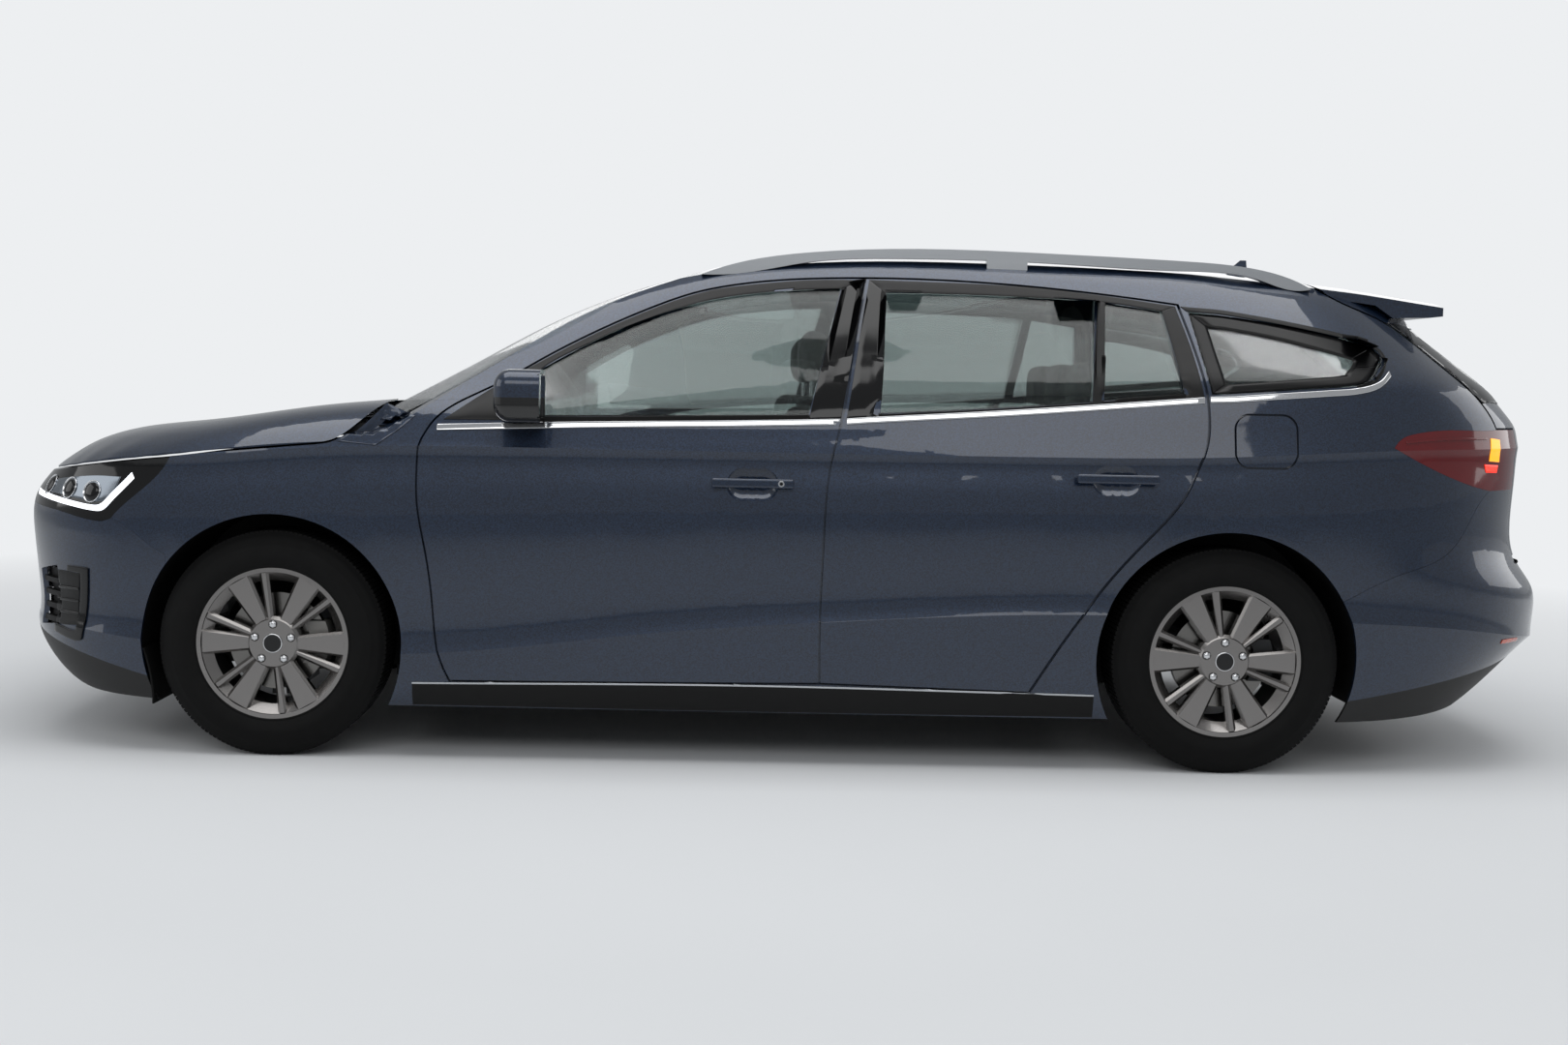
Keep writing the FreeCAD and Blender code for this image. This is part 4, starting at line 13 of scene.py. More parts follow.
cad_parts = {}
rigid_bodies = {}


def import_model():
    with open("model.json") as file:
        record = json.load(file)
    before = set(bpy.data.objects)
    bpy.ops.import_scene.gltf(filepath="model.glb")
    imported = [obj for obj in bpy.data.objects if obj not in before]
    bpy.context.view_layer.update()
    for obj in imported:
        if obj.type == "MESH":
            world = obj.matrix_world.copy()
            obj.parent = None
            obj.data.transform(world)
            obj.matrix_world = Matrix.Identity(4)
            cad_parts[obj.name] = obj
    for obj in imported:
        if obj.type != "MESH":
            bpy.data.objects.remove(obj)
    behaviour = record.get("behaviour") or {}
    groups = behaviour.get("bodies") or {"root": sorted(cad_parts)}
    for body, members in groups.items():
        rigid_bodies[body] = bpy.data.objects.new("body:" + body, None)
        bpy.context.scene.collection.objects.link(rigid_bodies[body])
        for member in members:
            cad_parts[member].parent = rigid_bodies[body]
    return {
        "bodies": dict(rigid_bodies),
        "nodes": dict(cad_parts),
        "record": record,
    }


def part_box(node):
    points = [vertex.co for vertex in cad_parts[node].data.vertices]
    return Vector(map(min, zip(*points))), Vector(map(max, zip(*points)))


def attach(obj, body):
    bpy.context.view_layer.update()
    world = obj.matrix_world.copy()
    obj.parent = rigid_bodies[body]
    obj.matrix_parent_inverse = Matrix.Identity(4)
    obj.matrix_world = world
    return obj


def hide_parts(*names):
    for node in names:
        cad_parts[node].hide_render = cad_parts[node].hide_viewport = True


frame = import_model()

LOG = logging.getLogger("estate_car")
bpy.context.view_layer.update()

# A place on the car by two shares of its size, as a View reads them.
Share = tuple[float, float]
Placer = Callable[[float, float], Vector]


class Side(Enum):
    """The two sides of the car, as the sign of Y."""

    LEFT = -1
    RIGHT = 1

    @property
    def word(self) -> str:
        """The side's name in lower case."""
        return self.name.lower()


@dataclass(frozen=True)
class CarLines:
    """The driving sizes of the car body, in metres."""

    wheelbase: float = 2.700
    front_overhang: float = 0.870
    rear_overhang: float = 1.100
    half_width: float = 0.910
    height: float = 1.480

    @property
    def nose_x(self) -> float:
        """X of the nose."""
        return -(self.wheelbase + self.front_overhang + self.rear_overhang) / 2

    @property
    def front_axle_x(self) -> float:
        """X of the front axle."""
        return self.nose_x + self.front_overhang

    @property
    def rear_axle_x(self) -> float:
        """X of the rear axle."""
        return self.front_axle_x + self.wheelbase

    def x(self, station: float) -> float:
        """Give the X of a station: 1 is the front axle, 2 the rear axle, 3 the tail."""
        if station < 1:
            return self.nose_x + station * self.front_overhang
        if station < 2:
            return self.front_axle_x + (station - 1) * self.wheelbase
        return self.rear_axle_x + (station - 2) * self.rear_overhang

    def z(self, share: float) -> float:
        """Give the height of a share of the body's height."""
        return share * self.height


LINES = CarLines()


def linear(hex_colour: str) -> tuple[float, float, float, float]:
    """Turn an sRGB hex colour to linear.

    Args:
        hex_colour: six hex digits after a hash sign.

    Returns:
        The linear red, green and blue, and an alpha of 1.
    """
    channels = [int(hex_colour[i:i + 2], 16) / 255 for i in (1, 3, 5)]
    red, green, blue = (c / 12.92 if c <= 0.04045 else ((c + 0.055) / 1.055) ** 2.4 for c in channels)
    return red, green, blue, 1.0


def add_node(tree: bpy.types.NodeTree, kind: str, inputs: dict | None = None,
             **settings: object) -> bpy.types.Node:
    """Add a node to a tree.

    Args:
        tree: the tree to add to.
        kind: the node's type, without its ShaderNode prefix.
        inputs: a value, or an output socket to link, for each input by name or number.
        settings: the node's own properties.

    Returns:
        The new node.
    """
    node = tree.nodes.new("ShaderNode" + kind)
    for name, value in settings.items():
        setattr(node, name, value)
    for name, value in (inputs or {}).items():
        if isinstance(value, bpy.types.NodeSocket):
            tree.links.new(value, node.inputs[name])
        else:
            node.inputs[name].default_value = value
    return node


# The Mix node's colours and result by number, because its sockets share their names.
MIX_FIRST, MIX_SECOND, MIX_RESULT = 6, 7, 2


def mixed_colour(tree: bpy.types.NodeTree, share: bpy.types.NodeSocket, first: Sequence[float],
                 second: Sequence[float]) -> bpy.types.NodeSocket:
    """Mix two colours.

    Args:
        tree: the material's node tree.
        share: how much of the second colour there is.
        first: a linear colour, or the socket that gives it.
        second: the same for the second colour.

    Returns:
        The socket that gives the mixed colour.
    """
    mix = add_node(tree, "Mix", {"Factor": share, MIX_FIRST: first, MIX_SECOND: second}, data_type="RGBA")
    return mix.outputs[MIX_RESULT]


@dataclass(frozen=True)
class Finish:
    """A surface finish: its shader's constants and, where it has them, its grain and colour change.

    The grain is noise of a real size in millimetres, stretched by stretch along X, Y and Z.
    """

    name: str
    colour: str
    roughness: float
    metallic: float = 0.0
    coat: float = 0.0
    coat_roughness: float = 0.03
    transmission: float = 0.0
    alpha: float = 1.0
    ior: float = 1.5
    sheen: float = 0.0
    emission: float = 0.0
    second_colour: str = ""
    patch_mm: float = 40.0
    grain_mm: float = 0.0
    grain_depth_mm: float = 0.0
    rough_change: float = 0.0
    stretch: tuple[float, float, float] = (1.0, 1.0, 1.0)

    def material(self) -> bpy.types.Material:
        """Give the finish's material, made once."""
        found = bpy.data.materials.get(self.name)
        return found if found else self.build()

    def build(self) -> bpy.types.Material:
        """Make the material with its shader, colour change and grain.

        Returns:
            The new material.
        """
        made = bpy.data.materials.new(self.name)
        made.use_nodes = True
        tree = made.node_tree
        tree.nodes.clear()
        shader = add_node(tree, "BsdfPrincipled", {
            "Base Color": linear(self.colour), "Roughness": self.roughness, "Metallic": self.metallic,
            "Coat Weight": self.coat, "Coat Roughness": self.coat_roughness, "IOR": self.ior,
            "Transmission Weight": self.transmission, "Alpha": self.alpha, "Sheen Weight": self.sheen,
            "Emission Color": linear(self.colour), "Emission Strength": self.emission})
        add_node(tree, "OutputMaterial", {"Surface": shader.outputs["BSDF"]})
        place = add_node(tree, "TexCoord").outputs["Object"]
        place = add_node(tree, "Mapping", {"Vector": place, "Scale": self.stretch}).outputs["Vector"]
        self.paint(tree, shader, place)
        return made

    def paint(self, tree: bpy.types.NodeTree, shader: bpy.types.Node, place: bpy.types.NodeSocket) -> None:
        """Link the colour change, roughness change and grain to the shader.

        Args:
            tree: the material's node tree.
            shader: its Principled shader.
            place: the coordinates, in metres.
        """
        patches = add_node(tree, "TexNoise", {"Vector": place, "Scale": 1000 / self.patch_mm, "Detail": 4.0})
        if self.second_colour:
            self.tint(tree, shader, patches.outputs["Fac"])
        if self.rough_change:
            span = add_node(tree, "MapRange", {
                "Value": patches.outputs["Fac"], "To Min": self.roughness - self.rough_change,
                "To Max": self.roughness + self.rough_change})
            tree.links.new(span.outputs["Result"], shader.inputs["Roughness"])
        if self.grain_mm:
            self.roughen(tree, shader, place)

    def roughen(self, tree: bpy.types.NodeTree, shader: bpy.types.Node, place: bpy.types.NodeSocket) -> None:
        """Link the grain's height to the shader, with the arguments of paint."""
        grain = add_node(tree, "TexNoise", {"Vector": place, "Scale": 1000 / self.grain_mm, "Detail": 3.0})
        self.emboss(tree, shader, grain.outputs["Fac"], self.grain_depth_mm)

    def tint(self, tree: bpy.types.NodeTree, shader: bpy.types.Node, share: bpy.types.NodeSocket) -> None:
        """Mix the finish's two colours.

        Args:
            tree: the material's node tree.
            shader: its Principled shader.
            share: how much of the second colour there is.
        """
        colour = mixed_colour(tree, share, linear(self.colour), linear(self.second_colour))
        tree.links.new(colour, shader.inputs["Base Color"])

    def emboss(self, tree: bpy.types.NodeTree, shader: bpy.types.Node, height: bpy.types.NodeSocket,
               depth_mm: float, normal: str = "Normal") -> None:
        """Bump a surface.

        Args:
            tree: the material's node tree.
            shader: its Principled shader.
            height: from 0 to 1.
            depth_mm: how deep that is.
            normal: the shader's normal that it changes.
        """
        bump = add_node(tree, "Bump", {"Height": height, "Distance": depth_mm / 1000})
        tree.links.new(bump.outputs["Normal"], shader.inputs[normal])


@dataclass(frozen=True)
class MetallicPaint(Finish):
    """Sprayed base coat with aluminium flakes under clear lacquer: the coat mirrors, and a painted glint
    lightens the flakes.

    Real flakes are finer than a pixel, so they are drawn flake_mm across.
    """

    colour: str = "#0D182A"
    roughness: float = 0.36
    metallic: float = 0.55
    coat: float = 1.0
    # The flakes' painted glint: a lighter blue in some cells of the base colour.
    second_colour: str = "#1B2D45"
    flake_mm: float = 3.0
    peel_mm: float = 14.0
    peel_depth_mm: float = 0.012

    def paint(self, tree: bpy.types.NodeTree, shader: bpy.types.Node, place: bpy.types.NodeSocket) -> None:
        """Link the flakes' painted glint and the lacquer's orange peel, with the arguments of Finish.paint.
        """
        # Each flake cell is lighter or darker at random: the flakes are real, their glint is painted.
        flakes = add_node(tree, "TexVoronoi", {"Vector": place, "Scale": 1000 / self.flake_mm})
        painted_flake_glint = add_node(tree, "SeparateColor", {"Color": flakes.outputs["Color"]})
        self.tint(tree, shader, painted_flake_glint.outputs["Red"])
        peel = add_node(tree, "TexNoise", {"Vector": place, "Scale": 1000 / self.peel_mm, "Detail": 1.0})
        self.emboss(tree, shader, peel.outputs["Fac"], self.peel_depth_mm, "Coat Normal")


@dataclass(frozen=True)
class TwoTonePaint(MetallicPaint):
    """Metallic paint above a sloping line, with a black moulding below it.

    The line is line_height high at line_x and climbs by line_slope for each metre rearwards.
    """

    line_height: float = 0.0
    line_x: float = 0.0
    line_slope: float = 0.0
    black: str = "#050505"
    black_roughness: float = 0.50
    black_coat: float = 0.0

    def paint(self, tree: bpy.types.NodeTree, shader: bpy.types.Node, place: bpy.types.NodeSocket) -> None:
        """Link the paint above the line and the black below it, with the arguments of Finish.paint."""
        super().paint(tree, shader, place)
        painted = shader.inputs["Base Color"].links[0].from_socket
        parts = add_node(tree, "SeparateXYZ", {"Vector": place})
        climb = add_node(tree, "Math", {0: parts.outputs["X"], 1: -self.line_slope,
                                        2: self.line_slope * self.line_x - self.line_height},
                         operation="MULTIPLY_ADD")
        over = add_node(tree, "Math", {0: parts.outputs["Z"], 1: climb.outputs["Value"]}, operation="ADD")
        test = add_node(tree, "Math", {0: over.outputs["Value"], 1: 0.0}, operation="LESS_THAN")
        below = test.outputs["Value"]
        tree.links.new(mixed_colour(tree, below, painted, linear(self.black)), shader.inputs["Base Color"])
        for name, black in (("Roughness", self.black_roughness), ("Metallic", 0.0),
                            ("Coat Weight", self.black_coat)):
            own = shader.inputs[name].default_value
            span = add_node(tree, "MapRange", {"Value": below, "To Min": own, "To Max": black})
            tree.links.new(span.outputs["Result"], shader.inputs[name])


@dataclass(frozen=True)
class WovenCloth(Finish):
    """Woven seat cloth with two crossed sets of ribs, their crests painted lighter as a painted highlight.

    The wave texture draws them about 25 mm apart at this scale, so that they show through the glass.
    """

    rib_scale: float = 12.5
    rib_depth_mm: float = 0.5

    def paint(self, tree: bpy.types.NodeTree, shader: bpy.types.Node, place: bpy.types.NodeSocket) -> None:
        """Link the ribs' colour, lighter on their crests as a painted highlight, and their height, with the
        arguments of Finish.paint.
        """
        heights = []
        for direction in ("X", "Z"):
            wave = add_node(tree, "TexWave", {"Vector": place, "Scale": self.rib_scale, "Distortion": 0.4,
                                              "Detail": 1.0}, bands_direction=direction)
            heights.append(wave.outputs["Fac"])
        weave = add_node(tree, "Math", {0: heights[0], 1: heights[1]}, operation="MULTIPLY")
        # The woven pattern's raised crossings take the lighter second colour: a painted highlight.
        self.tint(tree, shader, weave.outputs["Value"])
        self.emboss(tree, shader, weave.outputs["Value"], self.rib_depth_mm)


@dataclass(frozen=True)
class WheelAlloy(Finish):
    """Silver lacquered cast alloy, whose node also holds the brake disc, which lies inside disc_reach_y."""

    disc_reach_y: float = 0.824

    def paint(self, tree: bpy.types.NodeTree, shader: bpy.types.Node, place: bpy.types.NodeSocket) -> None:
        """Darken the disc and give the alloy a fine grain, with the arguments of Finish.paint."""
        parts = add_node(tree, "SeparateXYZ", {"Vector": place})
        depth = add_node(tree, "Math", {0: parts.outputs["Y"]}, operation="ABSOLUTE")
        inside = add_node(tree, "Math", {0: depth.outputs["Value"], 1: self.disc_reach_y},
                          operation="LESS_THAN")
        self.tint(tree, shader, inside.outputs["Value"])
        self.roughen(tree, shader, place)


# The backdrop's even tone, as the camera sees it.
BACKDROP = "#EDEFF1"

# Two-coat metallic paint, sprayed: deep blue with a fine painted glint of lighter flakes under clear
# reflections.
PAINT = MetallicPaint("lacquered_metallic_paint")
# The same paint above a moulded black lip, valance or foot, which stays duller than the lacquer.
NOSE_PAINT = TwoTonePaint("painted_nose_with_black_lip", line_height=0.315, line_x=-2.2, line_slope=-0.25)
TAIL_PAINT = TwoTonePaint("painted_tail_with_black_valance", line_height=0.234, line_x=1.714,
                          line_slope=0.169)
MIRROR_PAINT = TwoTonePaint("painted_cap_on_black_foot", line_height=1.030, black_roughness=0.12,
                            black_coat=0.5)
# Laminated windscreen and door glass: clear with a faint green cast, and mirrors the sky.
GLASS = Finish("laminated_glass", "#DDE8E6", 0.0, transmission=1.0, alpha=0.45)
# Body-tinted tempered glass: the load space behind it looks darker and greener.
TINTED_GLASS = Finish("tempered_tinted_glass", "#8FA8A4", 0.0, transmission=1.0, alpha=0.55)
# Silver behind flat glass: a clean, hardly dimmed reflection.
MIRROR_GLASS = Finish("silvered_glass", "#C9D0D4", 0.02, metallic=1.0)
# Polished acrylic: almost black, with sharp thin reflections.
GLOSS_BLACK = Finish("polished_black_acrylic", "#040405", 0.08, second_colour="#070708", ior=1.45)
# Satin moulding with a fine etched grain: black with a soft wide sheen.
SATIN_BLACK = Finish("satin_black_moulding", "#050506", 0.40, second_colour="#09090A", grain_mm=1.6,
                     grain_depth_mm=0.05, rough_change=0.06, ior=1.35)
# Grained polypropylene: a dull black whose grain breaks up the light.
PLASTIC = Finish("grained_polypropylene", "#060606", 0.60, second_colour="#0A0A0B", grain_mm=1.8,
                 grain_depth_mm=0.12, rough_change=0.08, ior=1.33)
# Rubber filled with carbon black: the dullest black on the car.
RUBBER = Finish("carbon_black_rubber", "#050505", 0.75, second_colour="#0A0A0A", grain_mm=2.5,
                grain_depth_mm=0.08, rough_change=0.10, ior=1.28)
# Chrome plate on plastic: a bright line that mirrors floor and sky.
CHROME = Finish("chromed_plastic", "#D9DADC", 0.09, metallic=1.0, rough_change=0.03)
# Brushed and anodised rail: pale metal with a soft streak along its length.
ALUMINIUM = Finish("anodised_aluminium", "#C3C6C9", 0.30, metallic=1.0, grain_mm=1.5, grain_depth_mm=0.01,
                   second_colour="#B4B7BB", stretch=(0.05, 1.0, 1.0))
# Cast alloy under silver lacquer: warm grey metal with soft highlights on its spokes.
ALLOY = WheelAlloy("lacquered_cast_alloy", "#807D7B", 0.24, metallic=0.95, coat=0.6,
                   second_colour="#6E6C69", grain_mm=3.0, grain_depth_mm=0.02)
# Sand-cast iron with a first bloom of rust: rough, brownish grey.
CAST_IRON = Finish("cast_iron", "#4A4743", 0.66, metallic=0.7, second_colour="#5D4B3F", patch_mm=25.0,
                   grain_mm=3.0, grain_depth_mm=0.3, rough_change=0.12)
# Steel dipped in primer: flat dark grey with slow changes of tone.
DIPPED_STEEL = Finish("dip_coated_steel", "#1D1F21", 0.55, metallic=0.3, second_colour="#2A2B2C",
                      patch_mm=90.0, grain_mm=6.0, grain_depth_mm=0.2)
# Sand-cast aluminium: mid grey with a coarse skin.
ENGINE = Finish("cast_aluminium", "#777A7D", 0.5, metallic=0.8, second_colour="#65676A", patch_mm=60.0,
                grain_mm=4.0, grain_depth_mm=0.4)
# Rolled stainless tube, lightly straw coloured by heat.
EXHAUST = Finish("rolled_stainless_steel", "#6F6A62", 0.35, metallic=1.0, second_colour="#84796A",
                 patch_mm=120.0, rough_change=0.08)
# Woven polyester seat cloth: dark, with crossed ribs that catch the light and crests painted lighter, a
# painted highlight.
CLOTH = WovenCloth("woven_polyester", "#202226", 0.9, sheen=0.3, second_colour="#3A3D42")
# Slush-moulded dash and door skin: charcoal with a leather-like grain.
SOFT_SKIN = Finish("soft_touch_skin", "#222326", 0.6, second_colour="#2A2B2E", grain_mm=2.2,
                   grain_depth_mm=0.15, rough_change=0.05)
# Embossed leather on the steering wheel and armrests: a little darker and shinier than the skin.
LEATHER = Finish("grained_leather", "#17181A", 0.5, second_colour="#1F2022", grain_mm=2.0,
                 grain_depth_mm=0.12, rough_change=0.06)
# Knitted headliner: pale, matt and fuzzy at its edges.
HEADLINER = Finish("knitted_headliner", "#A9ABA5", 0.95, sheen=0.2, second_colour="#B7B8B2", patch_mm=3.0,
                   grain_mm=2.0, grain_depth_mm=0.2)
# Moulded red acrylic: dark red with a hard shine.
RED_LENS = Finish("moulded_red_acrylic", "#520309", 0.10, coat=0.6, second_colour="#66060E", patch_mm=120.0,
                  ior=1.4)
# Acrylic lit from behind: it glows, and no reflection shows on it.
LIT_RED = Finish("lit_red_acrylic", "#F0301A", 0.2, emission=0.9)
LIT_AMBER = Finish("lit_orange_acrylic", "#FFA020", 0.2, emission=1.1)
LIT_WHITE = Finish("lit_light_guide", "#F4F8FF", 0.2, emission=1.6)
# Ceramic print fired on glass: black and faintly shiny.
FRIT = Finish("ceramic_frit", "#030304", 0.30, second_colour="#050506", patch_mm=30.0, ior=1.35)
# Vacuum-plated lamp bowl: blue-grey mirror.
REFLECTOR = Finish("vacuum_plated_reflector", "#7F868E", 0.16, metallic=1.0, rough_change=0.04)
# Moulded orange acrylic of the bumper reflector.
AMBER = Finish("moulded_orange_acrylic", "#C23A16", 0.12, coat=1.0, second_colour="#D04A1E", patch_mm=8.0)
# Needled carpet: dark fibres that light up at a low angle.
CARPET = Finish("needled_carpet", "#1C1D1F", 0.95, sheen=0.3, second_colour="#28292B", patch_mm=6.0,
                grain_mm=4.0, grain_depth_mm=0.8)
# Stove-enamelled aluminium plate: even pale grey, barely grained.
PLATE = Finish("painted_aluminium_plate", "#D6D8DA", 0.4, second_colour="#CFD1D4", patch_mm=60.0,
               grain_mm=2.0, grain_depth_mm=0.02)

# The finish of each of the record's slots, and of the nodes that differ from their slot.
SLOT_FINISHES: dict[str, Finish] = {
    "paint": PAINT, "clear_glass": GLASS, "tinted_glass": TINTED_GLASS, "lamp_lens": GLOSS_BLACK,
    "red_lens": RED_LENS, "black_plastic": PLASTIC, "cast_iron": CAST_IRON, "underbody": DIPPED_STEEL,
    "engine_alloy": ENGINE, "exhaust_steel": EXHAUST, "seat_cloth": CLOTH, "dash_plastic": SOFT_SKIN,
    "wheel_rubber": LEATHER, "rail_aluminium": ALUMINIUM, "rim_alloy": ALLOY, "tyre": RUBBER}
NODE_FINISHES: dict[str, Finish] = {
    "front_bumper": NOSE_PAINT, "rear_bumper": TAIL_PAINT, "mirror_left": MIRROR_PAINT,
    "mirror_right": MIRROR_PAINT, "quarter_glasses": TINTED_GLASS}


def dress_nodes() -> None:
    """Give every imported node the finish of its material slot."""
    for row in frame["record"]["subparts"]:
        node = frame["nodes"][row["node"]]
        finish = NODE_FINISHES.get(row["node"], SLOT_FINISHES[row["material_slot"]]).material()
        if node.data.materials:
            for i in range(len(node.data.materials)):
                node.data.materials[i] = finish
        else:
            node.data.materials.append(finish)
        LOG.info("dressed %s in %s", node.name, finish.name)


def mesh_data(name: str, mesh: bmesh.types.BMesh) -> bpy.types.Mesh:
    """Turn a bmesh to mesh data.

    Args:
        name: the data's name.
        mesh: the shape, which is freed.

    Returns:
        The mesh data.
    """
    data = bpy.data.meshes.new(name)
    mesh.to_mesh(data)
    mesh.free()
    return data


def add_object(name: str, data: bpy.types.ID) -> bpy.types.Object:
    """Put a new object in the scene.

    Args:
        name: the object's name.
        data: its mesh, lamp or camera.

    Returns:
        The object.
    """
    made = bpy.data.objects.new(name, data)
    bpy.context.scene.collection.objects.link(made)
    return made


@dataclass(frozen=True)
class Wall:
    """How a sheet becomes a solid: its thickness and the rounding of its edges, in metres."""

    thickness: float = 0.0
    rounding: float = 0.0
    segments: int = 2
    outward: bool = True


# Edges that turn more than this stay crisp, and edges beyond the second angle are rounded.
CRISP_ANGLE = math.radians(35)
ROUNDED_ANGLE = math.radians(40)


def make_piece(name: str, mesh: bmesh.types.BMesh, finish: Finish, body: str, slot: str,
               wall: Wall = Wall()) -> bpy.types.Object:
    """Turn a finished bmesh to an object that rides on a body.

    Args:
        name: the piece's name.
        mesh: its shape, which is freed.
        finish: its surface finish.
        body: the moving body that holds it.
        slot: the record's material slot; not used.
        wall: its thickness and rounding.

    Returns:
        The new object.
    """
    data = mesh_data(name, mesh)
    for polygon in data.polygons:
        polygon.use_smooth = True
    data.set_sharp_from_angle(angle=CRISP_ANGLE)
    data.materials.append(finish.material())
    piece = add_object(name, data)
    if wall.thickness:
        shell = piece.modifiers.new("wall", "SOLIDIFY")
        shell.thickness = wall.thickness
        shell.offset = 1.0 if wall.outward else -1.0
    if wall.rounding:
        edge = piece.modifiers.new("rounding", "BEVEL")
        edge.width = wall.rounding
        edge.segments = wall.segments
        edge.limit_method = "ANGLE"
        edge.angle_limit = ROUNDED_ANGLE
        edge.harden_normals = False
    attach(piece, body)
    LOG.info("made %s, %d faces", name, len(data.polygons))
    return piece


def to_side(mesh: bmesh.types.BMesh, side: Side) -> None:
    """Mirror a shape modelled for the left side where it is for the right.

    Args:
        mesh: the shape.
        side: the side that it is for.
    """
    if side is Side.RIGHT:
        bmesh.ops.scale(mesh, vec=(1, -1, 1), verts=mesh.verts[:])
        bmesh.ops.reverse_faces(mesh, faces=mesh.faces[:])


def face_outwards(mesh: bmesh.types.BMesh, direction: Vector) -> None:
    """Turn an open sheet's faces over where they look against a direction.

    Args:
        mesh: the sheet.
        direction: where its faces are to look.
    """
    mesh.normal_update()
    total = sum((face.normal * face.calc_area() for face in mesh.faces), Vector())
    if total.dot(direction) < 0:
        bmesh.ops.reverse_faces(mesh, faces=mesh.faces[:])


def curve_point(points: Sequence[Share], place: float) -> Share:
    """Give the point of the smooth curve through points, at a place from 0 to 1.

    Args:
        points: pairs of numbers that the curve passes, evenly spaced along place.
        place: how far along, from 0 to 1.

    Returns:
        The pair at that place.
    """
    if len(points) == 1:
        return points[0]
    spot = min(max(place, 0.0), 1.0) * (len(points) - 1)
    i = min(int(spot), len(points) - 2)
    t = spot - i
    before = points[i - 1] if i else tuple(2 * a - b for a, b in zip(points[0], points[1]))
    after = points[i + 2] if i + 2 < len(points) else tuple(2 * a - b for a, b in zip(points[-1], points[-2]))
    return tuple(0.5 * (2 * b + (c - a) * t + (2 * a - 5 * b + 4 * c - d) * t * t
                        + (3 * b - a - 3 * c + d) * t ** 3)
                 for a, b, c, d in zip(before, points[i], points[i + 1], after))


class View(Enum):
    """The directions from which trim is laid on the car: the way that rays go, and where they start."""

    SIDE = ((0.0, 1.0, 0.0), -1.4)
    FRONT = ((1.0, 0.0, 0.0), -3.0)
    REAR = ((-1.0, 0.0, 0.0), 3.0)
    TOP = ((0.0, 0.0, -1.0), 3.0)
    CABIN_SIDE = ((0.0, -1.0, 0.0), -0.3)
    CABIN_ROOF = ((0.0, 0.0, 1.0), 1.15)
    CABIN_FLOOR = ((0.0, 0.0, -1.0), 0.46)

    @property
    def direction(self) -> Vector:
        """The way that rays go."""
        return Vector(self.value[0])

    def start(self, first: float, second: float) -> Vector:
        """Give the start of a ray.

        Args:
            first: a station, or from the front and rear a share of the half width.
            second: a height share, or from above and below a share of the half width.

        Returns:
            The start point, in metres.
        """
        level = self.value[1]
        if self.direction.y:
            return Vector((LINES.x(first), level, LINES.z(second)))
        if self.direction.x:
            return Vector((level, first * LINES.half_width, LINES.z(second)))
        return Vector((LINES.x(first), second * LINES.half_width, level))


class Skin:
    """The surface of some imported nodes, on which trim is seated.

    Where a ray misses, the nearest surface is sought at the view's depth along it, in metres.
    """

    depths: dict[View, float] = {View.SIDE: 0.55, View.FRONT: 0.7, View.REAR: 0.8, View.TOP: 1.6,
                                 View.CABIN_SIDE: 0.5, View.CABIN_ROOF: 0.2, View.CABIN_FLOOR: 0.2}

    def __init__(self, *names: str) -> None:
        """Gather the triangles of the named nodes in a search tree."""
        mesh = bmesh.new()
        for name in names:
            mesh.from_mesh(frame["nodes"][name].data)
        self.tree = BVHTree.FromBMesh(mesh)
        mesh.free()

    def seat(self, view: View, first: float, second: float, lift: float = 0.0) -> Vector:
        """Give the point of the surface that a view sees, lifted back towards the viewer.

        Args:
            view: where it is seen from.
            first: the view's first coordinate.
            second: the view's second coordinate.
            lift: how far off the surface.

        Returns:
            The point, or one level with the nearest surface where the ray meets none.
        """
        start = view.start(first, second)
        hit = self.tree.ray_cast(start, view.direction)[0]
        if hit:
            return hit - view.direction * lift
        near = self.tree.find_nearest(start + view.direction * self.depths[view])[0]
        return start + view.direction * ((near - start).dot(view.direction) - lift)

    def cling(self, point: Vector, lift: float) -> Vector:
        """Give the nearest point of the surface, lifted along its normal."""
        near, normal = self.tree.find_nearest(point)[:2]
        return near + normal * lift


def sheet_mesh(columns: int, rows: int, place: Placer, outward: Vector) -> bmesh.types.BMesh:
    """Make a sheet from a grid whose points a function places.

    Args:
        columns: faces along.
        rows: faces across.
        place: gives the point for shares from 0 to 1 along and across.
        outward: the direction that its faces look.

    Returns:
        The sheet.
    """
    mesh = bmesh.new()
    bmesh.ops.create_grid(mesh, x_segments=columns, y_segments=rows, size=0.5)
    for vert in mesh.verts:
        vert.co = place(vert.co.x + 0.5, vert.co.y + 0.5)
    face_outwards(mesh, outward)
    return mesh


# For a strip that is a single piece, made where its curves lie.
SINGLE = (Side.LEFT,)


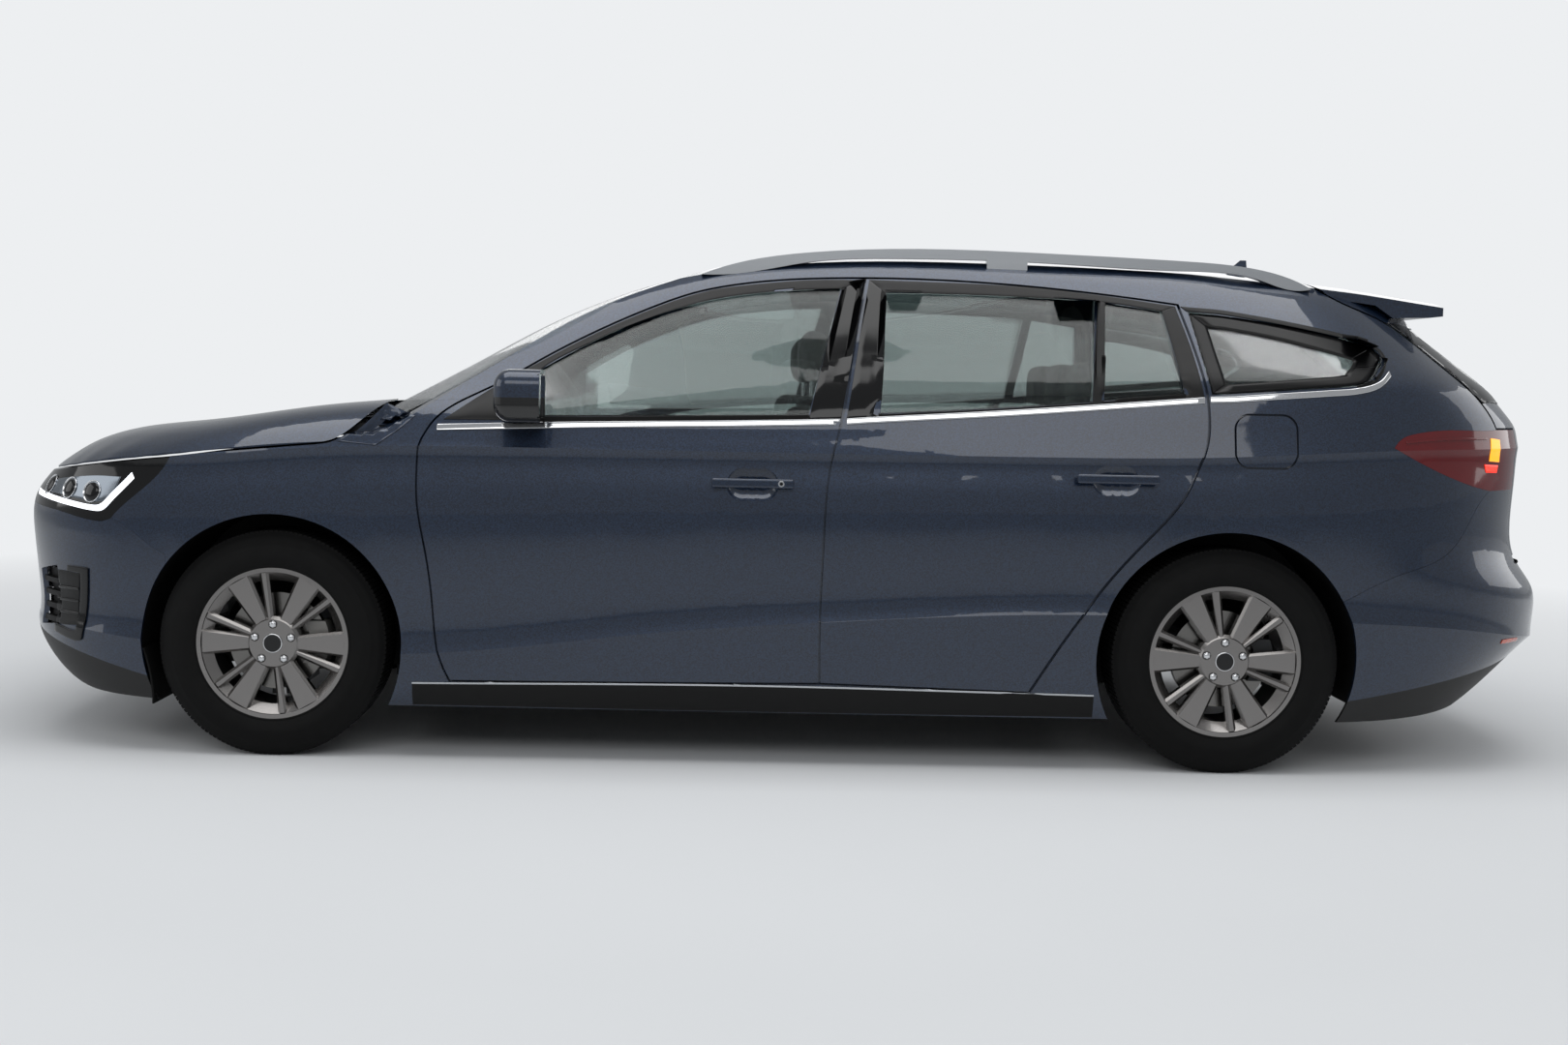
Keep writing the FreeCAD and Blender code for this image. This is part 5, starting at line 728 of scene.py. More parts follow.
@dataclass(frozen=True)
class Band:
    """A strip of trim laid on the car between two curves of a view's coordinates.

    The node is one name or several with spaces between, each with or without its side's ending. The
    strip lies lift off the surface, its wall grows outwards, and sides names the copies that are made.
    """

    name: str
    outer: tuple[Share, ...]
    inner: tuple[Share, ...]
    node: str
    body: str
    finish: Finish
    slot: str = "black_plastic"
    columns: int = 48
    rows: int = 4
    lift: float = 0.0003
    thickness: float = 0.0015
    rounding: float = 0.0006
    view: View = View.SIDE
    sides: tuple[Side, ...] = (Side.LEFT, Side.RIGHT)

    def mesh(self) -> bmesh.types.BMesh:
        """Lay the strip's sheet on the left side.

        Returns:
            The sheet, without its thickness.
        """
        names = [name for part in self.node.split()
                 for name in (part + "_left", part) if name in frame["nodes"]]
        skin = Skin(*names)

        def place(along: float, across: float) -> Vector:
            """Give the sheet's point at shares along and across the strip."""
            outer = curve_point(self.outer, along)
            inner = curve_point(self.inner, along)
            first, second = (a + (b - a) * across for a, b in zip(outer, inner))
            return skin.seat(self.view, first, second, self.lift)

        return sheet_mesh(self.columns, self.rows, place, -self.view.direction)

    def build(self) -> None:
        """Make the strip, on both sides where it is paired."""
        for side in self.sides:
            mesh = self.mesh()
            to_side(mesh, side)
            body = self.body if self.body in frame["bodies"] else self.body + "_" + side.word
            name = self.name + ("_" + side.word if len(self.sides) > 1 else "")
            make_piece(name, mesh, self.finish, body, self.slot, Wall(self.thickness, self.rounding))


class TrimSet:
    """Strips of trim that are made together."""

    def bands(self) -> list[Band]:
        """List the strips."""
        return []

    def build(self) -> None:
        """Make every strip."""
        for band in self.bands():
            band.build()


@dataclass(frozen=True)
class SideTrim(TrimSet):
    """The trim of the car's sides, as places by station and height share."""

    belt_width_share: float = 0.0115

    def belt(self, name: str, points: tuple[Share, ...], node: str, body: str) -> Band:
        """Give a stretch of the bright belt strip.

        Args:
            name: the piece's name.
            points: its lower edge.
            node: what it lies on.
            body: what it rides on.

        Returns:
            The strip.
        """
        upper = tuple((station, share + self.belt_width_share) for station, share in points)
        return Band(name, upper, points, node, body, CHROME, thickness=0.004, rounding=0.0015, rows=3)

    def bands(self) -> list[Band]:
        """List every strip of the left side."""
        front, rear = "door_front", "door_rear"
        return [
            Band("front_frame_trim",
                 ((1.176, .651), (1.223, .712), (1.271, .765), (1.328, .823), (1.393, .878), (1.437, .907),
                  (1.475, .922), (1.550, .937), (1.618, .941)),
                 ((1.266, .652), (1.270, .700), (1.273, .751), (1.329, .810), (1.380, .852), (1.430, .884),
                  (1.475, .903), (1.540, .917), (1.592, .922)), front, front, SATIN_BLACK),
            Band("front_pillar_trim", ((1.618, .941), (1.609, .852), (1.601, .765), (1.591, .6675)),
                 ((1.592, .922), (1.581, .845), (1.570, .765), (1.5575, .6650)), front, front, GLOSS_BLACK),
            Band("rear_pillar_trim", ((1.623, .941), (1.614, .852), (1.606, .765), (1.597, .6685)),
                 ((1.640, .915), (1.638, .845), (1.636, .765), (1.632, .6725)), rear, rear, GLOSS_BLACK),
            Band("rear_frame_trim", ((1.623, .941), (1.770, .935), (1.866, .920), (1.952, .899)),
                 ((1.640, .915), (1.750, .914), (1.872, .905), (1.937, .889)), rear, rear, SATIN_BLACK),
            Band("rear_divider_trim", ((1.866, .907), (1.859, .808), (1.853, .7035)),
                 ((1.877, .904), (1.871, .808), (1.865, .7045)), rear, rear, SATIN_BLACK),
            Band("rear_edge_trim", ((1.952, .899), (1.963, .811), (1.970, .7215)),
                 ((1.937, .889), (1.944, .808), (1.950, .7195)), rear, rear, SATIN_BLACK),
            Band("front_glass_seal", ((1.262, .6615), (1.400, .6665), (1.559, .6735)),
                 ((1.262, .6470), (1.400, .6560), (1.559, .6650)), front, front, RUBBER),
            Band("rear_glass_seal", ((1.630, .6800), (1.750, .6940), (1.855, .7100)),
                 ((1.630, .6720), (1.750, .6870), (1.855, .7035)), rear, rear, RUBBER),
            Band("fixed_glass_seal", ((1.864, .7130), (1.951, .7280)),
                 ((1.864, .7045), (1.951, .7195)), rear, rear, RUBBER),
            self.belt("front_belt_strip", ((1.170, .630), (1.320, .640), (1.478, .648), (1.590, .655)),
                      front, front),
            self.belt("rear_belt_strip", ((1.597, .656), (1.632, .661), (1.750, .676), (1.857, .692),
                                          (1.970, .710)), rear, rear),
            self.belt("quarter_belt_strip", ((1.976, .711), (2.100, .719), (2.233, .727), (2.320, .733),
                                             (2.380, .745), (2.420, .768)), "side_frame", "body"),
            *[Band("quarter_frit_" + place, outer, inner, "quarter_glasses", "body", FRIT, columns=40,
                   thickness=0.0008, rounding=0.0)
              for place, outer, inner in (
                  ("front", ((1.967, .886), (1.979, .729)), ((1.984, .857), (1.994, .747))),
                  ("top", ((1.967, .886), (2.137, .867), (2.314, .841), (2.390, .8235)),
                   ((1.984, .857), (2.130, .838), (2.270, .811), (2.322, .800))),
                  ("tip", ((2.390, .8235), (2.408, .806), (2.392, .788)),
                   ((2.322, .800), (2.328, .795), (2.318, .785))),
                  ("low", ((2.392, .788), (2.363, .765), (2.318, .751), (2.150, .7405), (1.979, .729)),
                   ((2.318, .785), (2.302, .775), (2.283, .768), (2.140, .757), (1.994, .747))))],
            Band("quarter_frame_trim",
                 ((1.958, .899), (2.137, .878), (2.314, .852), (2.400, .831), (2.424, .806), (2.405, .778),
                  (2.372, .755), (2.324, .7455)),
                 ((1.964, .8895), (2.137, .8695), (2.314, .8435), (2.395, .8245), (2.412, .806),
                  (2.395, .785), (2.365, .7622), (2.320, .7482)), "side_frame", "body", SATIN_BLACK,
                 columns=72, rows=2),
            # A black sill moulding that reaches down over the shade under the sill: partly a real part,
            # partly painted shade.
            Band("sill_moulding", ((1.148, .1465), (1.500, .1535), (1.862, .1465)),
                 ((1.148, .1045), (1.500, .1030), (1.862, .1045)), "side_frame front_fenders", "body",
                 PLASTIC, columns=96, thickness=0.003, rounding=0.001),
            # A pale metal strip along the sill's top edge, put there as a painted highlight.
            Band("sill_bright_edge", ((1.148, .1495), (1.500, .1565), (1.862, .1495)),
                 ((1.148, .1462), (1.500, .1532), (1.862, .1462)), "side_frame front_fenders", "body",
                 ALUMINIUM, columns=96, rows=2, thickness=0.003, rounding=0.0008),
            Band("fender_tip", ((1.068, .6060), (1.092, .6390), (1.115, .6800)),
                 ((1.108, .6000), (1.130, .6300), (1.146, .6560)), "front_fenders cowl_panel side_frame",
                 "body", PAINT, slot="paint", columns=20, rows=8, thickness=0.002, rounding=0.0008),
            Band("vent_surround",
                 ((.300, .3530), (.374, .3510), (.383, .3380), (.375, .2700), (.361, .2260), (.338, .2070),
                  (.232, .2190)),
                 ((.295, .3420), (.346, .3400), (.353, .3310), (.346, .2700), (.336, .2410), (.322, .2270),
                  (.236, .2350)), "front_bumper front_grilles", "body", GLOSS_BLACK, thickness=0.005,
                 rounding=0.002),
            Band("vent_floor", ((.232, .3405), (.280, .3410), (.348, .3380)),
                 ((.232, .2355), (.280, .2350), (.336, .2380)), "front_bumper front_grilles", "body",
                 SATIN_BLACK, columns=24, rows=12, lift=0.0008),
            *[Band("vent_blade_%d" % (i + 1),
                   ((.235, share + .0045), (.290, share + .0050), (.345, share + .0040)),
                   ((.235, share), (.290, share), (.345, share)), "front_bumper front_grilles", "body",
                   GLOSS_BLACK, columns=24, rows=2, lift=0.002, thickness=0.005, rounding=0.0015)
              for i, share in enumerate((.2580, .2820, .3060))],
            Band("rear_reflector", ((2.770, .2560), (2.800, .2575), (2.832, .2570)),
                 ((2.768, .2480), (2.800, .2485), (2.834, .2500)), "rear_bumper", "body", AMBER,
                 slot="red_lens", columns=16, thickness=0.002, rounding=0.0008),
        ]


@dataclass(frozen=True)
class Tyre:
    """A road tyre with a blocked tread, in shares of its section height and width."""

    segments: int = 144
    wall_points: tuple[Share, ...] = ((.05, .365), (.09, .425), (.13, .452), (.16, .447), (.30, .492),
                                      (.48, .500), (.50, .494), (.66, .492), (.68, .484), (.82, .452),
                                      (.90, .430), (.955, .395))
    groove_points: tuple[Share, ...] = ((.955, .33), (.955, .18), (.955, .155), (.955, .03))
    block_height: float = 0.0055
    block_gap: float = 0.0016
    bead_lap: float = 0.012
    tread_share: float = 0.92
    least_block_area: float = 0.00004

    def build(self, end: str, side: Side) -> None:
        """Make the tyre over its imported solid.

        Args:
            end: front or rear.
            side: the car's side.
        """
        node = "tyre_%s_%s" % (end, side.word)
        low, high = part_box(node)
        centre = (low + high) / 2
        radius = (high.z - low.z) / 2
        width = high.y - low.y
        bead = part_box("rim_%s_%s" % (end, side.word))
        inner = (bead[1].z - bead[0].z) / 2 - self.bead_lap
        height = radius - inner
        half = [(inner + height * rise, -width * out) for rise, out in self.wall_points + self.groove_points]
        profile = half + [(r, -y) for r, y in reversed(half)]
        mesh = bmesh.new()
        ring = [mesh.verts.new((r, y, 0)) for r, y in profile]
        edges = [mesh.edges.new(pair) for pair in zip(ring, ring[1:])]
        bmesh.ops.spin(mesh, geom=ring + edges, cent=(0, 0, 0), axis=(0, 1, 0), angle=math.tau,
                       steps=self.segments, use_merge=True)
        bmesh.ops.recalc_face_normals(mesh, faces=mesh.faces[:])
        self.raise_blocks(mesh, inner + height * self.tread_share)
        bmesh.ops.translate(mesh, vec=centre, verts=mesh.verts[:])
        body = "wheel_%s_%s" % (end, side.word)
        piece = make_piece("tread_" + node, mesh, RUBBER, body, "tyre")
        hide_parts(node)

    def raise_blocks(self, mesh: bmesh.types.BMesh, least_radius: float) -> None:
        """Raise the tread's faces as separate blocks.

        Args:
            mesh: the spun tyre about the origin.
            least_radius: the tread's faces lie beyond it.
        """
        tread = [face for face in mesh.faces
                 if all(math.hypot(v.co.x, v.co.z) > least_radius for v in face.verts)
                 and face.calc_area() > self.least_block_area]
        bmesh.ops.inset_individual(mesh, faces=tread, thickness=self.block_gap, depth=self.block_height,
                                   use_even_offset=True)


# Turns a shape's axis from Z to the car's width.
TO_SIDE = Matrix.Rotation(math.radians(90), 4, "X")


@dataclass(frozen=True)
class WheelHardware:
    """The wheel nuts and the bare cap at a wheel's middle."""

    nut_circle: float = 0.054
    nut_radius: float = 0.0105
    nut_height: float = 0.016
    nut_taper: float = 0.86
    nut_sink: float = 0.004
    dome_share: float = 0.84
    dome_flatness: float = 0.45
    cap_radius: float = 0.0265
    cap_depth: float = 0.008
    cap_taper: float = 0.93
    cap_sink: float = 0.001
    ring_share: float = 1.09
    ring_depth: float = 0.006
    count: int = 5
    face_offset: float = 0.084

    def build(self, end: str, side: Side) -> None:
        """Make the nuts and the cap of one wheel.

        Args:
            end: front or rear.
            side: the car's side.
        """
        low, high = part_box("tyre_%s_%s" % (end, side.word))
        middle = (low + high) / 2
        middle.y = -abs(middle.y)
        body = "wheel_%s_%s" % (end, side.word)
        face = middle.y - self.face_offset
        nuts = bmesh.new()
        for i in range(self.count):
            angle = math.pi / 2 + math.tau * i / self.count
            spot = Vector((middle.x + self.nut_circle * math.cos(angle),
                           face + self.nut_height / 2 - self.nut_sink,
                           middle.z + self.nut_circle * math.sin(angle)))
            bmesh.ops.create_cone(nuts, cap_ends=True, segments=6, radius1=self.nut_radius * self.nut_taper,
                                  radius2=self.nut_radius, depth=self.nut_height,
                                  matrix=Matrix.Translation(spot) @ TO_SIDE)
            top = spot - Vector((0, self.nut_height / 2, 0))
            bmesh.ops.create_uvsphere(nuts, u_segments=12, v_segments=6,
                                      radius=self.nut_radius * self.dome_share,
                                      matrix=Matrix.Translation(top)
                                      @ Matrix.Diagonal((1, self.dome_flatness, 1, 1)))
        to_side(nuts, side)
        make_piece("wheel_nuts_" + body, nuts, CHROME, body, "rim_alloy", Wall(rounding=0.0008))
        turn = Matrix.Translation((middle.x, face - self.cap_sink, middle.z)) @ TO_SIDE
        for name, radius, depth, finish in (
                ("wheel_cap_ring_", self.cap_radius * self.ring_share, self.ring_depth, CHROME),
                ("wheel_cap_", self.cap_radius, self.cap_depth, GLOSS_BLACK)):
            cap = bmesh.new()
            bmesh.ops.create_cone(cap, cap_ends=True, segments=64, radius1=radius,
                                  radius2=radius * self.cap_taper, depth=depth, matrix=turn)
            to_side(cap, side)
            make_piece(name + body, cap, finish, body, "black_plastic", Wall(rounding=0.0012, segments=3))


@dataclass(frozen=True)
class FrontFlap:
    """The rubber flap that hangs ahead of a front wheel, behind the bumper's lower corner."""

    x: float = -1.801
    inner_y: float = 0.600
    outer_y: float = 0.868
    low: float = 0.140
    top: float = 0.300
    lean: float = 0.030
    thickness: float = 0.006

    def build(self, side: Side) -> None:
        """Make one flap.

        Args:
            side: the car's side.
        """
        mesh = bmesh.new()
        bmesh.ops.create_grid(mesh, x_segments=10, y_segments=6, size=0.5)
        for vert in mesh.verts:
            across, up = vert.co.x + 0.5, vert.co.y + 0.5
            vert.co = Vector((self.x - self.lean * up * up,
                              -self.outer_y + across * (self.outer_y - self.inner_y),
                              self.low + up * (self.top - self.low)))
        face_outwards(mesh, Vector((1, 0, 0)))
        to_side(mesh, side)
        make_piece("front_flap_" + side.word, mesh, RUBBER, "body", "black_plastic",
                   Wall(self.thickness, 0.0015, outward=False))


@dataclass(frozen=True)
class Lamps(TrimSet):
    """The insides of the head lamps and tail lamps: light guides, reflectors and projector lenses."""

    guide_run: float = .010
    guide_width: float = .0110
    lens_radius: float = 0.027
    lens_bulge: float = 0.35
    rim_share: float = 1.02
    rim_spread: float = 1.13
    rim_rise: float = 0.004
    lens_places: tuple[Share, ...] = ((.200, .5050), (.300, .5030), (.395, .4990))

    def bands(self) -> list[Band]:
        """List the lamps' strips."""
        guide = ((.125, .4825), (.195, .4780), (.300, .4700), (.395, .4630), (.440, .4650), (.480, .4870),
                 (.520, .5100), (.548, .5270))
        inner = tuple((station - self.guide_run, share + self.guide_width) for station, share in guide)
        return [
            Band("daylight_guide", inner, guide, "headlamps", "body", LIT_WHITE, slot="lamp_lens", rows=3,
                 thickness=0.002, rounding=0.0008),
            Band("lamp_reflector", ((.165, .5080), (.270, .5210), (.400, .5290), (.500, .5290)),
                 ((.165, .4930), (.270, .4890), (.400, .4800), (.470, .4860)), "headlamps", "body", REFLECTOR,
                 slot="lamp_lens", thickness=0.0012),
            Band("tail_light_bar", ((2.716, .6530), (2.752, .6500)), ((2.712, .6080), (2.752, .6060)),
                 "tail_lamps", "body", LIT_AMBER, slot="red_lens", columns=20, rows=12, thickness=0.0015),
            Band("tail_turn_bar", ((2.694, .6020), (2.748, .6000)), ((2.700, .5860), (2.742, .5850)),
                 "tail_lamps", "body", LIT_RED, slot="red_lens", columns=20, thickness=0.0015),
            Band("tail_lamp_line", ((2.450, .6440), (2.560, .6520), (2.700, .6540)),
                 ((2.450, .6410), (2.560, .6480), (2.700, .6500)), "tail_lamps", "body", RED_LENS,
                 slot="red_lens", rows=2, thickness=0.0025)]

    def lenses(self, side: Side) -> None:
        """Make a head lamp's projector lenses, each a dome in a rim.

        Args:
            side: the car's side.
        """
        skin = Skin("headlamps")
        domes, rims = bmesh.new(), bmesh.new()
        for station, share in self.lens_places:
            spot = skin.seat(View.SIDE, station, share)
            normal = skin.tree.find_nearest(spot)[1]
            turn = Matrix.Translation(spot) @ normal.to_track_quat("Z", "Y").to_matrix().to_4x4()
            bmesh.ops.create_uvsphere(domes, u_segments=28, v_segments=14, radius=self.lens_radius,
                                      matrix=turn @ Matrix.Diagonal((1, 1, self.lens_bulge, 1)))
            ring = bmesh.ops.create_circle(rims, segments=36, radius=self.lens_radius * self.rim_share,
                                           matrix=turn)
            edges = [edge for edge in rims.edges if edge.verts[0] in ring["verts"]]
            grown = bmesh.ops.extrude_edge_only(rims, edges=edges)["geom"]
            verts = [item for item in grown if isinstance(item, bmesh.types.BMVert)]
            bmesh.ops.scale(rims, vec=(self.rim_spread, self.rim_spread, 1.0), verts=verts,
                            space=turn.inverted())
            bmesh.ops.translate(rims, vec=normal * self.rim_rise, verts=verts)
        for mesh, name, finish, wall in ((domes, "projector_lenses_", GLOSS_BLACK, Wall()),
                                         (rims, "projector_rims_", CHROME, Wall(0.002, 0.0006))):
            to_side(mesh, side)
            make_piece(name + side.word, mesh, finish, "body", "lamp_lens", wall)

    def build(self) -> None:
        """Make all the lamps' insides."""
        super().build()
        for side in Side:
            self.lenses(side)


@dataclass(frozen=True)
class RearBlades:
    """The black blades beside the rear window, from the side shut line to the glass."""

    side_curve: tuple[Share, ...] = ((2.700, .7200), (2.650, .7600), (2.583, .8100), (2.510, .8600),
                                     (2.480, .8780))
    glass_curve: tuple[Share, ...] = ((-.615, .7200), (-.605, .7600), (-.590, .8100), (-.575, .8550),
                                      (-.565, .8720))
    columns: int = 36
    rows: int = 10
    lift: float = 0.0012

    def build(self) -> None:
        """Make both blades."""
        skin = Skin("tailgate")

        def place(along: float, across: float) -> Vector:
            """Give the blade's point at shares along it and from its side edge to the glass."""
            near = skin.seat(View.SIDE, *curve_point(self.side_curve, along))
            far = skin.seat(View.REAR, *curve_point(self.glass_curve, along))
            return skin.cling(near.lerp(far, across), self.lift)

        for side in Side:
            mesh = sheet_mesh(self.columns, self.rows, place, Vector((1, -1, 0)))
            to_side(mesh, side)
            make_piece("rear_window_blade_" + side.word, mesh, GLOSS_BLACK, "tailgate", "black_plastic",
                       Wall(0.0015, 0.0006))


@dataclass(frozen=True)
class FrontAndRear(TrimSet):
    """What the nose and the tail carry: the plates, the grille's frame, the rear bumper's line and the
    tailgate's trim.
    """

    def bands(self) -> list[Band]:
        """List the strips that are seen from the front and from the rear."""
        return [
            Band("front_plate", ((-.286, .347), (.286, .347)), ((-.286, .271), (.286, .271)),
                 "front_bumper front_grilles", "body", PLATE, view=View.FRONT, sides=SINGLE, columns=24,
                 rows=6, thickness=0.0012, rounding=0.0005, lift=0.002),
            Band("grille_frame", ((-.452, .492), (-.415, .515), (0, .519), (.415, .515), (.452, .492),
                                  (.372, .3185), (0, .3165), (-.372, .3185), (-.452, .492)),
                 ((-.436, .489), (-.404, .508), (0, .510), (.404, .508), (.436, .489), (.362, .3245),
                  (0, .3240), (-.362, .3245), (-.436, .489)), "front_bumper", "body", CHROME,
                 view=View.FRONT, sides=SINGLE, columns=120, rows=2, thickness=0.003, rounding=0.001),
            Band("rear_plate", ((-.286, .520), (.286, .520)), ((-.286, .446), (.286, .446)), "tailgate",
                 "tailgate", PLATE, view=View.REAR, sides=SINGLE, columns=24, rows=6, thickness=0.0012,
                 rounding=0.0005, lift=0.002),
            Band("tailgate_handle_trim", ((-.33, .556), (0, .560), (.33, .556)),
                 ((-.33, .536), (0, .538), (.33, .536)), "tailgate", "tailgate", PLASTIC, view=View.REAR,
                 sides=SINGLE, rows=3, thickness=0.006, rounding=0.002),
            Band("rear_bumper_pad", ((-.62, .405), (0, .405), (.62, .405)),
                 ((-.62, .398), (0, .398), (.62, .398)), "rear_bumper", "body", SATIN_BLACK,
                 view=View.REAR, sides=SINGLE, rows=2),
        ]


@dataclass(frozen=True)
class MirrorGlass:
    """The silvered glass in the recess of a door mirror."""

    inner_y: float = 0.850
    low_z: float = 0.962
    corner_radius: float = 0.032
    margin: float = 0.014
    sink: float = 0.006
    thickness: float = 0.002

    def build(self, side: Side) -> None:
        """Make one mirror's glass.

        Args:
            side: the car's side.
        """
        low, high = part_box("mirror_" + side.word)
        outer = max(abs(low.y), abs(high.y))
        mesh = bmesh.new()
        bmesh.ops.create_grid(mesh, x_segments=1, y_segments=1, size=0.5)
        corners = mesh.verts[:]
        for vert in corners:
            across, up = (low_edge + self.margin + (place + 0.5) * (high_edge - low_edge - 2 * self.margin)
                          for place, low_edge, high_edge in ((vert.co.x, self.inner_y, outer),
                                                             (vert.co.y, self.low_z, high.z)))
            vert.co = Vector((high.x - self.sink, -across, up))
        bmesh.ops.bevel(mesh, geom=corners, offset=self.corner_radius, segments=8, profile=0.5,
                        affect="VERTICES", material=-1)
        face_outwards(mesh, Vector((1, 0, 0)))
        to_side(mesh, side)
        make_piece("mirror_glass_" + side.word, mesh, MIRROR_GLASS, "door_front_" + side.word, "clear_glass",
                   Wall(self.thickness, 0.0005, outward=False))


@dataclass(frozen=True)
class HandleLock:
    """The round lock cover at the rear end of a front door's handle."""

    station: float = 1.5295
    share: float = 0.543
    radius: float = 0.0085
    ring_rise: float = 0.0012
    core_share: float = 0.55
    core_rise: float = 0.0020
    foot_share: float = 1.05

    def build(self) -> None:
        """Make the chrome ring and its black middle on both front handles."""
        skin = Skin("door_front_left")
        spot = skin.seat(View.SIDE, self.station, self.share)
        for side in Side:
            for name, radius, rise, finish in (
                    ("lock_ring_", self.radius, self.ring_rise, CHROME),
                    ("lock_core_", self.radius * self.core_share, self.core_rise, GLOSS_BLACK)):
                mesh = bmesh.new()
                bmesh.ops.create_cone(mesh, cap_ends=True, segments=32, radius1=radius * self.foot_share,
                                      radius2=radius, depth=2 * rise,
                                      matrix=Matrix.Translation(spot) @ TO_SIDE)
                to_side(mesh, side)
                make_piece(name + side.word, mesh, finish, "door_front_" + side.word, "black_plastic",
                           Wall(rounding=0.0004))


@dataclass(frozen=True)
class CabinTrim(TrimSet):
    """The linings that show through the glass."""

    def bands(self) -> list[Band]:
        """List the linings as sheets on the panels' inner faces."""
        inside = View.CABIN_SIDE
        return [
            Band("front_door_card", ((1.215, .600), (1.400, .600), (1.560, .600)),
                 ((1.235, .200), (1.400, .200), (1.560, .200)), "door_front", "door_front", SOFT_SKIN,
                 view=inside, columns=24, rows=24, thickness=0.006, rounding=0.002, lift=0.001),
            Band("rear_door_card", ((1.612, .620), (1.750, .625), (1.900, .630)),
                 ((1.612, .215), (1.700, .215), (1.790, .215)), "door_rear", "door_rear", SOFT_SKIN,
                 view=inside, columns=24, rows=24, thickness=0.006, rounding=0.002, lift=0.001),
            Band("front_armrest", ((1.330, .470), (1.450, .478), (1.545, .478)),
                 ((1.330, .440), (1.450, .445), (1.545, .445)), "door_front", "door_front", LEATHER,
                 view=inside, columns=24, rows=3, thickness=0.030, rounding=0.010, lift=0.007),
            Band("rear_armrest", ((1.650, .478), (1.750, .482), (1.840, .482)),
                 ((1.650, .448), (1.750, .450), (1.840, .450)), "door_rear", "door_rear", LEATHER,
                 view=inside, columns=24, rows=3, thickness=0.028, rounding=0.010, lift=0.007),
            Band("headliner", ((1.405, -.56), (1.700, -.585), (2.050, -.58), (2.270, -.56)),
                 ((1.405, .56), (1.700, .585), (2.050, .58), (2.270, .56)), "roof_panel", "body", HEADLINER,
                 view=View.CABIN_ROOF, sides=SINGLE, columns=36, rows=24, thickness=0.004, lift=0.002,
                 slot="dash_plastic"),
            Band("front_carpet", ((1.125, -.70), (1.300, -.72), (1.480, -.72)),
                 ((1.125, -.13), (1.300, -.13), (1.480, -.13)), "floor_pan", "body", CARPET,
                 view=View.CABIN_FLOOR, columns=20, rows=16, thickness=0.008, lift=0.001,
                 slot="seat_cloth"),
        ]


